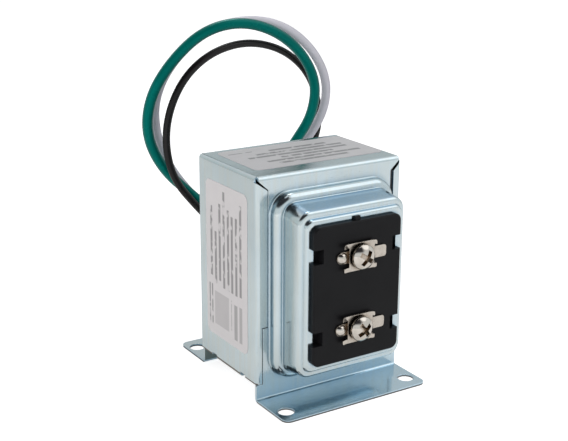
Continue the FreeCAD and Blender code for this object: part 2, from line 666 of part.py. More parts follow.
def core_tab(sign):
    # Tongue of the side wall, folded under the core
    low = WALL_RAISE - SHEET
    wall = sign * HALF_WIDE
    outline = [(wall, WALL_RAISE + TAB_RELIEF_TALL), (wall, low), (wall - sign * CORE_TAB_LONG, low)]
    if sign > 0:
        outline.reverse()
    section = folded_section(outline, lambda x, z: Vector(x, -CORE_TAB_WIDE / 2, z), CORE_SIDE_CLEAR)
    return section.extrude(Vector(0, CORE_TAB_WIDE, 0))


def tab_reliefs(sign):
    start = CORE_TAB_WIDE / 2
    outer = sign * (HALF_WIDE + OVER)
    inner = sign * (HALF_WIDE - SHEET - OVER)
    return [box(outer, inner, side * start, side * (start + TAB_RELIEF_LONG), WALL_RAISE - OVER,
                WALL_RAISE + TAB_RELIEF_TALL) for side in (-1, 1)]


# Core, coil and insulation

def core_e_stack():
    left = -CORE_WIDE / 2
    right = CORE_WIDE / 2 - CORE_LIMB
    half_y = CORE_STACK / 2
    block = box(left, right, -half_y, half_y, CORE_Z - CORE_TALL / 2, CORE_Z + CORE_TALL / 2)
    windows = [box(left + CORE_LIMB, right + OVER, -CORE_STACK, CORE_STACK, CORE_Z + sign * CORE_LIMB,
                   CORE_Z + sign * 2 * CORE_LIMB) for sign in (-1, 1)]
    return without(block, *windows)


def core_i_stack():
    right = CORE_WIDE / 2
    half_y = CORE_STACK / 2
    return box(right - CORE_LIMB, right, -half_y, half_y, CORE_Z - CORE_TALL / 2, CORE_Z + CORE_TALL / 2)


def coil_block(half_y, half_z, x0, x1):
    return box(x0, x1, -half_y, half_y, CORE_Z - half_z, CORE_Z + half_z)


def rounded_coil(half_y, half_z, x0, x1, corner):
    block = coil_block(half_y, half_z, x0, x1)
    return block.makeFillet(corner, edges_along(block, "X"))


def bobbin():
    body = coil_block(TUBE_HALF_Y, TUBE_HALF_Z, -BOBBIN_HALF_X, BOBBIN_HALF_X)
    for x in (-BOBBIN_HALF_X, -BOBBIN_WALL / 2, BOBBIN_HALF_X - BOBBIN_WALL):
        body = body.fuse(coil_block(FLANGE_HALF_Y, FLANGE_HALF_Z, x, x + BOBBIN_WALL))
    hole = coil_block(TUBE_HALF_Y - BOBBIN_WALL, TUBE_HALF_Z - BOBBIN_WALL, -WINDOW_LONG, WINDOW_LONG)
    return body.removeSplitter().cut(hole)


def winding_span(sign):
    return sorted((sign * BOBBIN_WALL / 2, sign * (BOBBIN_HALF_X - BOBBIN_WALL)))


def bare_coil(sign):
    return rounded_coil(TAPE_HALF_Y - TAPE, TAPE_HALF_Z - TAPE, *winding_span(sign), WINDING_ROUND)


def winding(sign):
    return bare_coil(sign).cut(coil_block(TUBE_HALF_Y, TUBE_HALF_Z, -WINDOW_LONG, WINDOW_LONG))


def tape(sign):
    wrapped = rounded_coil(TAPE_HALF_Y, TAPE_HALF_Z, *winding_span(sign), WINDING_ROUND + TAPE)
    return wrapped.cut(bare_coil(sign))


def card(side):
    # Insulating card against the coil flanges, in front of or behind the coil
    wide = 2 * (BOBBIN_HALF_X - CARD_INSET)
    tall = 2 * (FLANGE_HALF_Z - CARD_INSET)
    return rounded_block(wide, tall, CARD_INSET, side * FLANGE_HALF_Y, side * CARD_FACE)


def front_card():
    holes = [along_y(CARD_HOLE, EYE_X, z, -CARD_FACE - OVER, -FLANGE_HALF_Y + OVER)
             for z in (UPPER_TERMINAL, LOWER_TERMINAL)]
    return without(card(-1), *holes)


# Terminal block and its metal pieces

def block_boss(play, y0, y1):
    half_x = BLOCK_WIDE / 2 - BLOCK_SIDE_LAP - play
    half_z = BLOCK_TALL / 2 - BLOCK_END_LAP - play
    return box(-half_x, half_x, y0, y1, CORE_Z - half_z, CORE_Z + half_z)


def terminal_block():
    plate = rounded_block(BLOCK_WIDE, BLOCK_TALL, BLOCK_CORNER, -DOME_FACE, -BLOCK_FRONT)
    rim = ring(BLOCK_WIDE / 2, BLOCK_TALL / 2, BLOCK_CORNER, -BLOCK_FRONT)
    plate = plate.makeChamfer(BLOCK_BEVEL, edges_on(plate, rim))
    block = plate.fuse(block_boss(BLOCK_FIT, -DOME_FACE - BLOCK_PLATE / 2, -BLOCK_BACK))
    half_x = BLOCK_WIDE / 2 - BLOCK_SIDE_LAP - BLOCK_FIT - BLOCK_SIDE_WALL
    half_z = BLOCK_TALL / 2 - BLOCK_END_LAP - BLOCK_FIT - BLOCK_END_WALL
    for end in (-1, 1):
        rib = CORE_Z + end * BLOCK_RIB / 2
        block = block.cut(box(-half_x, half_x, -WEB_BACK, -BLOCK_BACK + OVER, rib, CORE_Z + end * half_z))
        for side in (-1, 1):
            block = latch(block, side, CORE_Z + end * LATCH_SPAN / 2)
    nib_low = CORE_Z + BLOCK_TALL / 2
    nib = box(-NIB_WIDE / 2, NIB_WIDE / 2, -DOME_FACE, -DOME_FACE - NIB_THICK, nib_low - OVER,
              nib_low + NIB_TALL)
    block = joined(block, nib)
    through = (-BLOCK_FRONT - OVER, -WEB_BACK + OVER)
    for z in (UPPER_TERMINAL, LOWER_TERMINAL):
        block = block.cut(along_y(COLLAR + 2 * COLLAR_FIT, 0, z, *through))
        block = block.cut(along_y(RIVET_SHANK + 2 * RIVET_FIT, -RIVET_LEFT, z, *through))
    return block


def latch(block, side, z):
    # Open pocket in the plate's edge, with the snap barb that holds the block behind its window's edge
    z0 = z - LATCH_TALL / 2
    z1 = z + LATCH_TALL / 2
    edge = side * BLOCK_WIDE / 2
    floor = -BLOCK_FRONT + LATCH_DEEP
    pocket = box(edge - side * LATCH_IN, edge + side * OVER, -BLOCK_FRONT - OVER, floor, z0, z1)
    boss = edge - side * (BLOCK_SIDE_LAP + BLOCK_FIT)
    catch = -DOME_FACE + SHEET + LATCH_PLAY
    tip = boss + side * LATCH_BARB
    root = boss - side * BLOCK_FIT
    corners = [(root, catch), (tip, catch), (boss, -BLOCK_BACK), (root, -BLOCK_BACK)]
    barb = polygon([Vector(x, y, z0) for x, y in corners]).extrude(Vector(0, 0, LATCH_TALL))
    return block.cut(pocket).fuse(barb)


def flat_bar(x0, x1, wide, z, y0, y1, round_left, round_right):
    bar = box(x0, x1, y0, y1, z - wide / 2, z + wide / 2)
    for x, radius in ((x0, round_left), (x1, round_right)):
        corners = [edge for edge in edges_along(bar, "Y") if abs(edge.BoundBox.XMin - x) < NEAR]
        bar = bar.makeFillet(radius, corners)
    return bar


def terminal_strip(z):
    left = -RIVET_LEFT - STRIP_WIDE / 2
    bar = flat_bar(left, STRIP_RIGHT, STRIP_WIDE, z, -BLOCK_FRONT, -STRIP_FACE, STRIP_WIDE / 2 - ROUND_SHY,
                   STRIP_END_ROUND)
    end = -BLOCK_FRONT + COLLAR_LONG
    bar = joined(bar, along_y(COLLAR, 0, z, -STRIP_FACE, end))
    bore = along_y(SCREW_SHANK + 2 * SCREW_FIT, 0, z, -STRIP_FACE - OVER, end + OVER)
    hole = along_y(RIVET_SHANK + 2 * RIVET_FIT, -RIVET_LEFT, z, -STRIP_FACE - OVER, -BLOCK_FRONT + OVER)
    return without(bar, bore, hole)


def wire_clamp(z):
    # Pressure plate: its four ears turn up at both sides of the strip
    curl = -STRIP_FACE - CLAMP_CURL
    under = [(-CLAMP_LEFT, curl), (-CLAMP_LEFT + CLAMP_CURL_LONG, -STRIP_FACE),
             (CLAMP_RIGHT - CLAMP_CURL_LONG, -STRIP_FACE), (CLAMP_RIGHT, curl)]
    over = [(x, y - CLAMP_THICK) for x, y in under]
    section = polygon([Vector(x, y, z - CLAMP_TALL / 2) for x, y in under + over[::-1]])
    plate = section.extrude(Vector(0, 0, CLAMP_TALL))
    tips = [edge for edge in edges_along(plate, "Y")
            if min(edge.BoundBox.XMin + CLAMP_LEFT, CLAMP_RIGHT - edge.BoundBox.XMax) < NEAR]
    plate = plate.makeFillet(CLAMP_CORNER, tips)
    through = (-CLAMP_FACE - CLAMP_CURL - OVER, -STRIP_FACE + OVER)
    half_notch = CLAMP_TALL / 2 - CLAMP_EAR
    left_floor = RIVET_LEFT - RIVET_HEAD / 2 - CLAMP_NOTCH_PLAY
    right_floor = CLAMP_RIGHT - CLAMP_NOTCH_RIGHT
    for floor, outer in ((-left_floor, -CLAMP_LEFT - OVER), (right_floor, CLAMP_RIGHT + OVER)):
        plate = plate.cut(box(floor, outer, *through, z - half_notch, z + half_notch))
    return plate.cut(along_y(SCREW_SHANK + 2 * CLAMP_HOLE_FIT, 0, z, *through))


def terminal_screw(z, upright_turn):
    # Pan head with a cross recess
    under = CLAMP_FACE + SCREW_STANDOFF
    rim = under + SCREW_SIDE_TALL
    crown = rim + SCREW_CROWN
    tip = CARD_FACE + SCREW_TIP_CLEAR
    corners = [(SCREW_HEAD / 2, -rim), (SCREW_HEAD / 2, -under), (SCREW_SHANK / 2, -under),
               (SCREW_SHANK / 2, -tip), (0, -tip)]
    screw = turned(corners, -crown)
    edges = [edge for edge in screw.Edges
             if edge.BoundBox.YLength < NEAR and abs(edge.BoundBox.YMin + rim) < NEAR]
    screw = screw.makeFillet(SCREW_RIM_ROUND, edges)
    screw = without(screw, *[cross_slot(upright_turn + turn, crown) for turn in (0, 90)])
    screw.translate(Vector(0, 0, z))
    return screw


def cross_slot(turn, crown):
    half = CROSS_LONG / 2
    mouth = -crown - OVER
    step = -crown + CROSS_SIDE_DEEP
    floor = -crown + CROSS_DEEP
    deep = half - CROSS_TAPER
    corners = [(-half, mouth), (half, mouth), (half, step), (deep, floor), (-deep, floor), (-half, step)]
    slot = polygon([Vector(x, y, -CROSS_WIDE / 2) for x, y in corners]).extrude(Vector(0, 0, CROSS_WIDE))
    slot.rotate(Vector(), Vector(0, 1, 0), turn)
    return slot


def terminal_rivet(z):
    pin = rivet(RIVET_HEAD, RIVET_HEAD_TALL, RIVET_SHANK, RIVET_TAIL, RIVET_TAIL_TALL, -STRIP_FACE,
                -WEB_BACK + LUG_THICK)
    pin.translate(Vector(-RIVET_LEFT, 0, z))
    return pin


def solder_lug(z):
    y = -WEB_BACK
    lug = flat_bar(EYE_X - LUG_EYE_EDGE, -RIVET_LEFT + LUG_WIDE / 2, LUG_WIDE, z, y, y + LUG_THICK,
                   STRIP_END_ROUND, LUG_WIDE / 2 - ROUND_SHY)
    through = (y - OVER, y + LUG_THICK + OVER)
    eye = along_y(SECONDARY_WIRE + 2 * LUG_EYE_FIT, EYE_X, z, *through)
    hole = along_y(RIVET_SHANK + 2 * RIVET_FIT, -RIVET_LEFT, z, *through)
    return without(lug, eye, hole)


def secondary_wire(z, toward):
    # From the coil's surface, through the card, to the eye of the solder lug
    coil = -TAPE_HALF_Y - SECONDARY_WIRE / 2
    points = [(EYE_X, -WEB_BACK, z), (EYE_X, coil, z), (EYE_X, coil, z + toward * SECONDARY_TAIL)]
    return bent_wire(points, SECONDARY_WIRE, SECONDARY_BEND)


# Bushing, leads and the joints inside the rear chamber

def lead_bushing():
    middle = (BUSHING_X, BUSHING_Z)
    outer = REAR_FACE + BUSHING_RIM_THICK
    body = along_y(BUSHING_HOLE - 2 * BUSHING_FIT, *middle, BUSHING_INNER, outer)
    rim = along_y(BUSHING_RIM, *middle, REAR_FACE, outer)
    lip = Part.makeCone(BUSHING_HOLE / 2 - BUSHING_FIT, BUSHING_LIP / 2, BUSHING_LIP_THICK,
                        Vector(BUSHING_X, BUSHING_INNER, BUSHING_Z), Vector(0, 1, 0))
    bushing = joined(body, rim, lip)
    edges = [edge for edge in bushing.Edges if abs(edge.BoundBox.YMin - outer) < NEAR]
    bushing = bushing.makeFillet(BUSHING_RIM_ROUND, edges)
    leads = ((BLACK_HOLE, BLACK_LEAD), (WHITE_HOLE, WHITE_LEAD), (GREEN_HOLE, GREEN_LEAD))
    holes = [along_y(diameter + 2 * LEAD_FIT, *hole, BUSHING_INNER - OVER, outer + OVER)
             for hole, diameter in leads]
    return without(bushing, *holes)


def lead_start(hole):
    return (hole[0], LEAD_Y, hole[1])


def lead_end(route, diameter):
    tip = Vector(*route[-1])
    return rod(BARE_SHARE * diameter, tip, tip + unit(tip - Vector(*route[-2])) * BARE_LONG)


def supply_tail(hole, diameter):
    points = [lead_start(hole), (hole[0], TAIL_Y, hole[1]), (hole[0], TAIL_Y, hole[1] - SPLICE_TOP_DROP)]
    return bent_wire(points, diameter, TAIL_BEND)


def splice(hole):
    top = Vector(hole[0], TAIL_Y, hole[1] - SPLICE_TOP_DROP)
    sleeve = rod(SPLICE, Vector(hole[0], TAIL_Y, SPLICE_LOW), top)
    low = [edge for edge in sleeve.Edges if abs(edge.BoundBox.ZMax - SPLICE_LOW) < NEAR]
    return sleeve.makeFillet(SPLICE_ROUND, low)


def primary_wire(hole):
    # From the splice, under the coil's tape
    end = TAPE_HALF_Y - PRIMARY_INSIDE
    points = [(hole[0], TAIL_Y, SPLICE_LOW), (hole[0], TAIL_Y, PRIMARY_Z), (hole[0], end, PRIMARY_Z)]
    return bent_wire(points, PRIMARY_WIRE, PRIMARY_DROP / 2)


def green_tail():
    # The insulation stops at the lug and the bare wire goes on into its barrel
    x, z = GREEN_HOLE
    points = [lead_start(GREEN_HOLE), (x, GREEN_Y, z), (x, GREEN_Y, GREEN_TOP)]
    wire = bent_wire(points, GREEN_LEAD, GREEN_BEND)
    bare = rod(GREEN_BARE, Vector(x, GREEN_Y, GREEN_TOP), Vector(x, GREEN_Y, BARREL_LOW + BARREL_BORE_LONG))
    return joined(wire, bare)


def ground_lug():
    # Ring tongue under the rivet, bent away from the plate to a crimp barrel round the green lead's wire
    x = GREEN_HOLE[0]
    bore = GREEN_BARE + 2 * LEAD_FIT
    low = Vector(x, GREEN_Y, BARREL_LOW)
    high = BARREL_LOW + BARREL_LONG
    barrel = rod(bore + 2 * BARREL_WALL, low, Vector(x, GREEN_Y, high))
    outline = [(GREEN_Y + EARTH_PLATE / 2, high - EARTH_TONGUE_LAP),
               (CHAMBER_INSIDE, EARTH_Z - EARTH_RING / 2), (CHAMBER_INSIDE, EARTH_Z)]
    left = x - EARTH_TONGUE_WIDE / 2
    section = folded_section(outline, lambda y, z: Vector(left, y, z), BEND, EARTH_PLATE)
    tongue = section.extrude(Vector(EARTH_TONGUE_WIDE, 0, 0))
    plate = along_y(EARTH_RING, x, EARTH_Z, CHAMBER_INSIDE - EARTH_PLATE, CHAMBER_INSIDE)
    lug = joined(barrel, tongue, plate)
    socket = rod(bore, low - Vector(0, 0, OVER), low + Vector(0, 0, BARREL_BORE_LONG + LEAD_FIT))
    hole = along_y(EARTH_RIVET + 2 * RIVET_FIT, x, EARTH_Z, CHAMBER_INSIDE - EARTH_PLATE - OVER, REAR_FACE)
    return without(lug, socket, hole)


def ground_rivet():
    pin = rivet(EARTH_RIVET_HEAD, EARTH_RIVET_TALL, EARTH_RIVET, EARTH_RIVET_TAIL, EARTH_RIVET_TAIL_TALL,
                REAR_FACE, CHAMBER_INSIDE - EARTH_PLATE)
    pin.translate(Vector(GREEN_HOLE[0], 0, EARTH_Z))
    return pin


def all_parts():
    parts = {
        "front_cover": front_cover(),
        "rear_channel": rear_channel(),
        "core_e_stack": core_e_stack(),
        "core_i_stack": core_i_stack(),
        "bobbin": bobbin(),
        "primary_winding": winding(1),
        "secondary_winding": winding(-1),
        "primary_tape": tape(1),
        "secondary_tape": tape(-1),
        "front_card": front_card(),
        "rear_card": card(1),
        "terminal_block": terminal_block(),
        "lead_bushing": lead_bushing(),
        "green_lead_tail": green_tail(),
        "ground_lug": ground_lug(),
        "ground_rivet": ground_rivet(),
    }
    terminals = (("upper", UPPER_TERMINAL, -1, UPPER_SCREW_TURN),
                 ("lower", LOWER_TERMINAL, 1, LOWER_SCREW_TURN))
    for place, z, toward, upright_turn in terminals:
        parts[place + "_terminal_strip"] = terminal_strip(z)
        parts[place + "_wire_clamp"] = wire_clamp(z)
        parts[place + "_terminal_screw"] = terminal_screw(z, upright_turn)
        parts[place + "_terminal_rivet"] = terminal_rivet(z)
        parts[place + "_solder_lug"] = solder_lug(z)
        parts[place + "_secondary_wire"] = secondary_wire(z, toward)
    for colour, hole, diameter in (("black", BLACK_HOLE, BLACK_LEAD), ("white", WHITE_HOLE, WHITE_LEAD)):
        parts[colour + "_lead_tail"] = supply_tail(hole, diameter)
        parts[colour + "_splice"] = splice(hole)
        parts[colour + "_primary_wire"] = primary_wire(hole)
    leads = (("black", BLACK_HOLE, BLACK_ROUTE, BLACK_LEAD), ("white", WHITE_HOLE, WHITE_ROUTE, WHITE_LEAD),
             ("green", GREEN_HOLE, GREEN_ROUTE, GREEN_LEAD))
    for colour, hole, route, diameter in leads:
        parts[colour + "_lead"] = tube(colour, [lead_start(hole)] + route, diameter)
        parts[colour + "_lead_end"] = lead_end(route, diameter)
    return parts


os.makedirs("parts", exist_ok=True)
for name, shape in all_parts().items():
    if not shape.isValid() or len(shape.Solids) != 1:
        print("CHECK", name, "valid", shape.isValid(), "solids", len(shape.Solids))
    shape.exportStep("parts/" + name + ".step")
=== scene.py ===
import math
import bpy
import numpy as np
from mathutils import Matrix, Vector


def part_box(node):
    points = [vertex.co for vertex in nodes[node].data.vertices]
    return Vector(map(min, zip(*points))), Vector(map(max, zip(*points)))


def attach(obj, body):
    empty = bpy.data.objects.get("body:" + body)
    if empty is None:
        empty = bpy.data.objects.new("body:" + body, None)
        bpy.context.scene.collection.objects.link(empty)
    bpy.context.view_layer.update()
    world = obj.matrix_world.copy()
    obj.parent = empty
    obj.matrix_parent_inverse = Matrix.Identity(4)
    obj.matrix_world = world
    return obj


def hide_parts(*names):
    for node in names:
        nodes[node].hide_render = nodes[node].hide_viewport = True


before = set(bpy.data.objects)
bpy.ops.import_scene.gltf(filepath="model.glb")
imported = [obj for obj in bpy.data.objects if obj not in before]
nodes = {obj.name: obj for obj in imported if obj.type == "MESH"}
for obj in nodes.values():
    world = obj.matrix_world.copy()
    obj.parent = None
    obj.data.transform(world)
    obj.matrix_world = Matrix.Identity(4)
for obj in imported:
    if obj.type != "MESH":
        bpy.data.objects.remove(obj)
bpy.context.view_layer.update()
scene = bpy.context.scene
mm = 0.001
print("frame loaded:", len(nodes), "nodes")

# camera at the photograph's place; lengths in millimetres, focal length in pixels of a 568 wide picture
viewPoint = {
    "azimuth": -32.31, "elevation": 17.17, "roll": 0.29, "focalPixels": 1130.6, "pixelsWide": 568,
    "lookAt": (0, 0, 30), "slideRight": -4.35, "slideUp": 13.29, "scale": 1.0539, "distance": 339.6,
    "sensor": 36.0, "near": 10.0, "far": 20000.0,
}


def placeCamera(spec):
    # back points from the target to the eye; right and up complete the picture plane
    az = math.radians(spec["azimuth"])
    el = math.radians(spec["elevation"])
    back = Vector((math.sin(az) * math.cos(el), -math.cos(az) * math.cos(el), math.sin(el)))
    right = Vector((math.cos(az), math.sin(az), 0))
    up = back.cross(right)
    target = Vector(spec["lookAt"]) + right * spec["slideRight"] + up * spec["slideUp"]
    eye = target * spec["scale"] + back * spec["distance"]
    turn = Matrix((right, up, back)).transposed() @ Matrix.Rotation(math.radians(spec["roll"]), 3, "Z")
    camera = bpy.data.cameras.new("photoCamera")
    camera.sensor_width = spec["sensor"]
    camera.sensor_fit = "HORIZONTAL"
    camera.lens = spec["focalPixels"] / spec["pixelsWide"] * spec["sensor"]
    camera.clip_start = spec["near"] * mm
    camera.clip_end = spec["far"] * mm
    holder = bpy.data.objects.new("photoCamera", camera)
    holder.matrix_world = Matrix.Translation(eye * mm) @ turn.to_4x4()
    scene.collection.objects.link(holder)
    scene.camera = holder


placeCamera(viewPoint)
scene.view_settings.view_transform = "Standard"
print("camera placed")


# small helpers for node trees

def rgb(r, g, b):
    return (r, g, b, 1.0)


white = rgb(1, 1, 1)
midBand = (0.3, 0.7)  # most values of a noise lie between these


def put(tree, kind, plugs=None, **settings):
    # one node; plugs are values or the sockets that feed it
    node = tree.nodes.new(kind)
    for key, value in settings.items():
        setattr(node, key, value)
    for key, value in (plugs or {}).items():
        if isinstance(value, bpy.types.NodeSocket):
            tree.links.new(value, node.inputs[key])
        else:
            node.inputs[key].default_value = value
    return node


def feed(tree, node, sources):
    for label, socket in sources.items():
        tree.links.new(socket, node.inputs[label])


def calc(tree, operation, a, b=0.0):
    return put(tree, "ShaderNodeMath", {0: a, 1: b}, operation=operation).outputs[0]


def times(tree, product, *others):
    for other in others:
        product = calc(tree, "MULTIPLY", product, other)
    return product


def spread(tree, value, band, reach=(0.0, 1.0)):
    # carries a band of values over to the reach and holds it at both ends
    plugs = {0: value, 1: band[0], 2: band[1], 3: reach[0], 4: reach[1]}
    return put(tree, "ShaderNodeMapRange", plugs).outputs[0]


def blendColours(tree, share, a, b, mode="MIX"):
    plugs = {0: share, 6: a, 7: b}
    return put(tree, "ShaderNodeMix", plugs, data_type="RGBA", blend_type=mode).outputs[2]


def placeOf(tree):
    return tree.nodes.new("ShaderNodeTexCoord").outputs["Object"]


def normalOf(tree):
    return tree.nodes.new("ShaderNodeNewGeometry").outputs["Normal"]


def axesOf(tree, vector):
    return put(tree, "ShaderNodeSeparateXYZ", {0: vector}).outputs


def noise(tree, where, scale, **plugs):
    return put(tree, "ShaderNodeTexNoise", {"Vector": where, "Scale": scale, **plugs}).outputs[0]


def bumpFrom(tree, height, strength, deep, plugs=None, **settings):
    plugs = {"Strength": strength, "Distance": deep, "Height": height, **(plugs or {})}
    return put(tree, "ShaderNodeBump", plugs, **settings).outputs[0]


def newGroup(name, inputs, outputs):
    # shader group with float inputs (name: default) and named outputs (name: socket type)
    tree = bpy.data.node_groups.new(name, "ShaderNodeTree")
    for label, value in inputs.items():
        socket = tree.interface.new_socket(label, in_out="INPUT", socket_type="NodeSocketFloat")
        socket.default_value = value
    for label, kind in outputs.items():
        tree.interface.new_socket(label, in_out="OUTPUT", socket_type="NodeSocket" + kind)
    return tree, tree.nodes.new("NodeGroupInput").outputs, tree.nodes.new("NodeGroupOutput")


def useGroup(tree, group, plugs=None):
    return put(tree, "ShaderNodeGroup", plugs, node_tree=group).outputs


def newMaterial(name, values):
    # material with a Principled shader; values go straight on its sockets
    material = bpy.data.materials.new(name)
    material.use_nodes = True
    tree = material.node_tree
    tree.nodes.clear()
    shader = put(tree, "ShaderNodeBsdfPrincipled", values)
    out = tree.nodes.new("ShaderNodeOutputMaterial")
    tree.links.new(shader.outputs[0], out.inputs[0])
    return material, tree, shader


# shared surface effects

sheetGrain = {
    "cloud": {"Detail": 4.0, "Roughness": 0.55, "Distortion": 0.6},
    "streak": {"Detail": 2.0, "Roughness": 0.5}, "drawn": (1.0, 1.0, 0.05),
    "fleck": {"Detail": 1.0}, "fleckScale": 1400.0, "fleckBand": (0.68, 0.8),
}
# how the painted blue reflections spread
reflectionSpread = {
    "drift": {"Detail": 2.0}, "driftScale": 70.0, "patchy": (0.7, 1.0), "upward": (0.72, 0.92),
    "leftToRight": (-0.018, 0.018), "deeper": (1.0, 0.7),
}


def makeRolledSheet(spec):
    # plated sheet: slow clouds in the plating, fine rolling streaks along Z, and sparse flecks
    tree, given, sink = newGroup("rolledSheet", {"Cloud Scale": 60.0, "Streak Scale": 900.0},
                                 {"Cloud": "Float", "Streak": "Float", "Fleck": "Float"})
    where = placeOf(tree)
    drawn = put(tree, "ShaderNodeMapping", {"Vector": where, "Scale": spec["drawn"]}).outputs[0]
    fleck = noise(tree, where, spec["fleckScale"], **spec["fleck"])
    feed(tree, sink, {
        "Cloud": noise(tree, where, given["Cloud Scale"], **spec["cloud"]),
        "Streak": noise(tree, drawn, given["Streak Scale"], **spec["streak"]),
        "Fleck": spread(tree, fleck, spec["fleckBand"]),
    })
    return tree


def makeMouldGrain():
    # moulded plastic: spark-eroded grain for the bump and a slow change of tone
    tree, given, sink = newGroup("mouldGrain", {"Grain Scale": 5000.0, "Tone Scale": 90.0},
                                 {"Grain": "Float", "Tone": "Float"})
    where = placeOf(tree)
    feed(tree, sink, {
        "Grain": noise(tree, where, given["Grain Scale"], Detail=2.0),
        "Tone": noise(tree, where, given["Tone Scale"], Detail=3.0),
    })
    return tree


def makeSoftEdge():
    # rounded normal at sharp edges, and a mask of how far it turns away from the true one
    tree, given, sink = newGroup("softEdge", {"Radius": 0.0002}, {"Normal": "Vector", "Edge": "Float"})
    rounded = put(tree, "ShaderNodeBevel", {"Radius": given["Radius"]}, samples=6).outputs[0]
    match = put(tree, "ShaderNodeVectorMath", {0: rounded, 1: normalOf(tree)}, operation="DOT_PRODUCT")
    edge = spread(tree, match.outputs["Value"], (0.99, 0.8))
    feed(tree, sink, {"Normal": rounded, "Edge": edge})
    return tree


def makePaintedHollowShade():
    # painted shade in hollows, by how much of the near surroundings a hollow place sees instead of the room;
    # level faces count less
    tree, given, sink = newGroup("paintedHollowShade", {"Reach": 0.006, "Low": 0.88, "High": 0.42, "Upward": 0.7},
                                 {"Painted Shade": "Float"})
    sky = put(tree, "ShaderNodeAmbientOcclusion", {"Distance": given["Reach"]}, samples=8).outputs["AO"]
    closed = spread(tree, sky, (given["Low"], given["High"]))
    level = calc(tree, "ABSOLUTE", axesOf(tree, normalOf(tree))["Z"])
    less = calc(tree, "SUBTRACT", 1.0, times(tree, level, given["Upward"]))
    feed(tree, sink, {"Painted Shade": times(tree, closed, less)})
    return tree


def makePaintedBlueReflection(spec):
    # painted blue reflections: a bluish tint low on the front that grows towards the foot, and a darker blue
    # tint on the top of the dome's middle tier, where it is deepest on the left
    tree, given, sink = newGroup("paintedBlueReflection", {"Top": 0.012, "Front": -0.015, "Ledge Front": -0.0196},
                                 {"Low Reflection": "Float", "Ledge Reflection": "Float"})
    where = placeOf(tree)
    parts = axesOf(tree, where)
    low = spread(tree, parts["Z"], (0.0, given["Top"]), (1.0, 0.0))
    ahead = calc(tree, "LESS_THAN", parts["Y"], given["Front"])
    drift = noise(tree, where, spec["driftScale"], **spec["drift"])
    patchy = spread(tree, drift, midBand, spec["patchy"])
    upward = spread(tree, axesOf(tree, normalOf(tree))["Z"], spec["upward"])
    proud = calc(tree, "LESS_THAN", parts["Y"], given["Ledge Front"])
    raised = calc(tree, "GREATER_THAN", parts["Z"], given["Top"])
    deeper = spread(tree, parts["X"], spec["leftToRight"], spec["deeper"])
    feed(tree, sink, {
        "Low Reflection": times(tree, low, ahead, patchy),
        "Ledge Reflection": times(tree, upward, proud, raised, deeper, patchy),
    })
    return tree


rolledSheet = makeRolledSheet(sheetGrain)
paintedHollowShade = makePaintedHollowShade()
paintedBlueReflection = makePaintedBlueReflection(reflectionSpread)
mouldGrain = makeMouldGrain()
softEdge = makeSoftEdge()
print("surface effects ready")


# materials; lengths in metres

# among these tones the hollow tone is painted shade, the low blue and the ledge tones are painted
# reflections, the inside tone is painted shade, and the brown tone of the sheared edge also paints a shadow
# line along the walls' lower edge
platedLook = {
    "bright": rgb(0.57, 0.645, 0.665), "dull": rgb(0.49, 0.575, 0.61), "warm": rgb(0.55, 0.585, 0.56),
    "edge": rgb(0.68, 0.73, 0.74), "hollow": rgb(0.30, 0.48, 0.63), "lowReflection": rgb(0.93, 1.04, 1.14),
    "ledgeReflection": rgb(0.45, 0.63, 0.83), "cut": rgb(0.26, 0.20, 0.17), "inside": rgb(0.34, 0.35, 0.31),
    "scales": {"Cloud Scale": 55.0, "Streak Scale": 1100.0}, "streakBand": (0.40, 0.70),
    "streakShare": (0.0, 0.6), "fleckShare": 0.25, "edgeShare": 0.5, "edgeRadius": 0.00022, "reach": 0.005,
    "openFront": 0.85, "facing": 0.5, "cutHigh": 0.00042, "wallEdge": 0.0053, "insideBehind": 0.010,
    "insideAbove": 0.001,
    "roughBand": (0.7, 1.3), "rough": (0.11, 0.20), "bump": 0.06, "bumpDeep": 0.00002,
}
coreLook = {
    "base": rgb(0.20, 0.20, 0.21), "gap": rgb(0.03, 0.03, 0.03), "rust": rgb(0.16, 0.11, 0.08), "metal": 0.8,
    "pitch": 0.0005, "lineBand": (0.36, 0.46), "rustScale": 220.0, "rustDetail": 4.0, "rustBand": (0.45, 0.8),
    "rustShare": (0.0, 0.6), "rough": (0.38, 0.62), "bump": 0.6, "bumpDeep": 0.0001,
}
copperLook = {
    "base": rgb(0.62, 0.24, 0.09), "shade": rgb(0.48, 0.15, 0.05), "pitch": 0.0004, "driftScale": 150.0,
    "rough": (0.22, 0.4), "bump": 0.8,
}
# the usual values include the tone and the reach of the painted shade in recesses
metalUsual = {
    "toneScale": 700.0, "edgeShare": 0.6, "edgeBright": 1.25, "hollow": rgb(0.46, 0.38, 0.30), "bump": 0.2,
    "bumpDeep": 0.00002, "walls": {"Reach": 0.002, "Low": 0.9, "High": 0.45, "Upward": 0.0},
}
metalLooks = {
    "nickelStamped": {
        "base": rgb(0.53, 0.485, 0.43), "shade": rgb(0.465, 0.42, 0.37), "rough": (0.20, 0.32),
        "edgeRadius": 0.00012, "grain": 4000.0,
    },
    "nickelScrew": {
        "base": rgb(0.61, 0.565, 0.51), "shade": rgb(0.53, 0.485, 0.43), "rough": (0.08, 0.15),
        "edgeRadius": 0.00015, "grain": 3000.0,
    },
    "tinnedLug": {
        "base": rgb(0.62, 0.61, 0.57), "shade": rgb(0.52, 0.50, 0.45), "rough": (0.26, 0.4),
        "edgeRadius": 0.0001, "grain": 3000.0,
    },
    "bareCopper": {
        "base": rgb(0.74, 0.38, 0.20), "shade": rgb(0.60, 0.28, 0.13), "rough": (0.22, 0.36),
        "edgeRadius": 0.00005, "grain": 5000.0,
    },
}
mouldedUsual = {
    "toneScale": 120.0, "grain": 5000.0, "bump": 0.25, "bumpDeep": 0.00003, "gloss": 0.5, "tint": white,
}
vinylUsual = {"edgeRadius": 0.0001, "grain": 2200.0, "bump": 0.2}
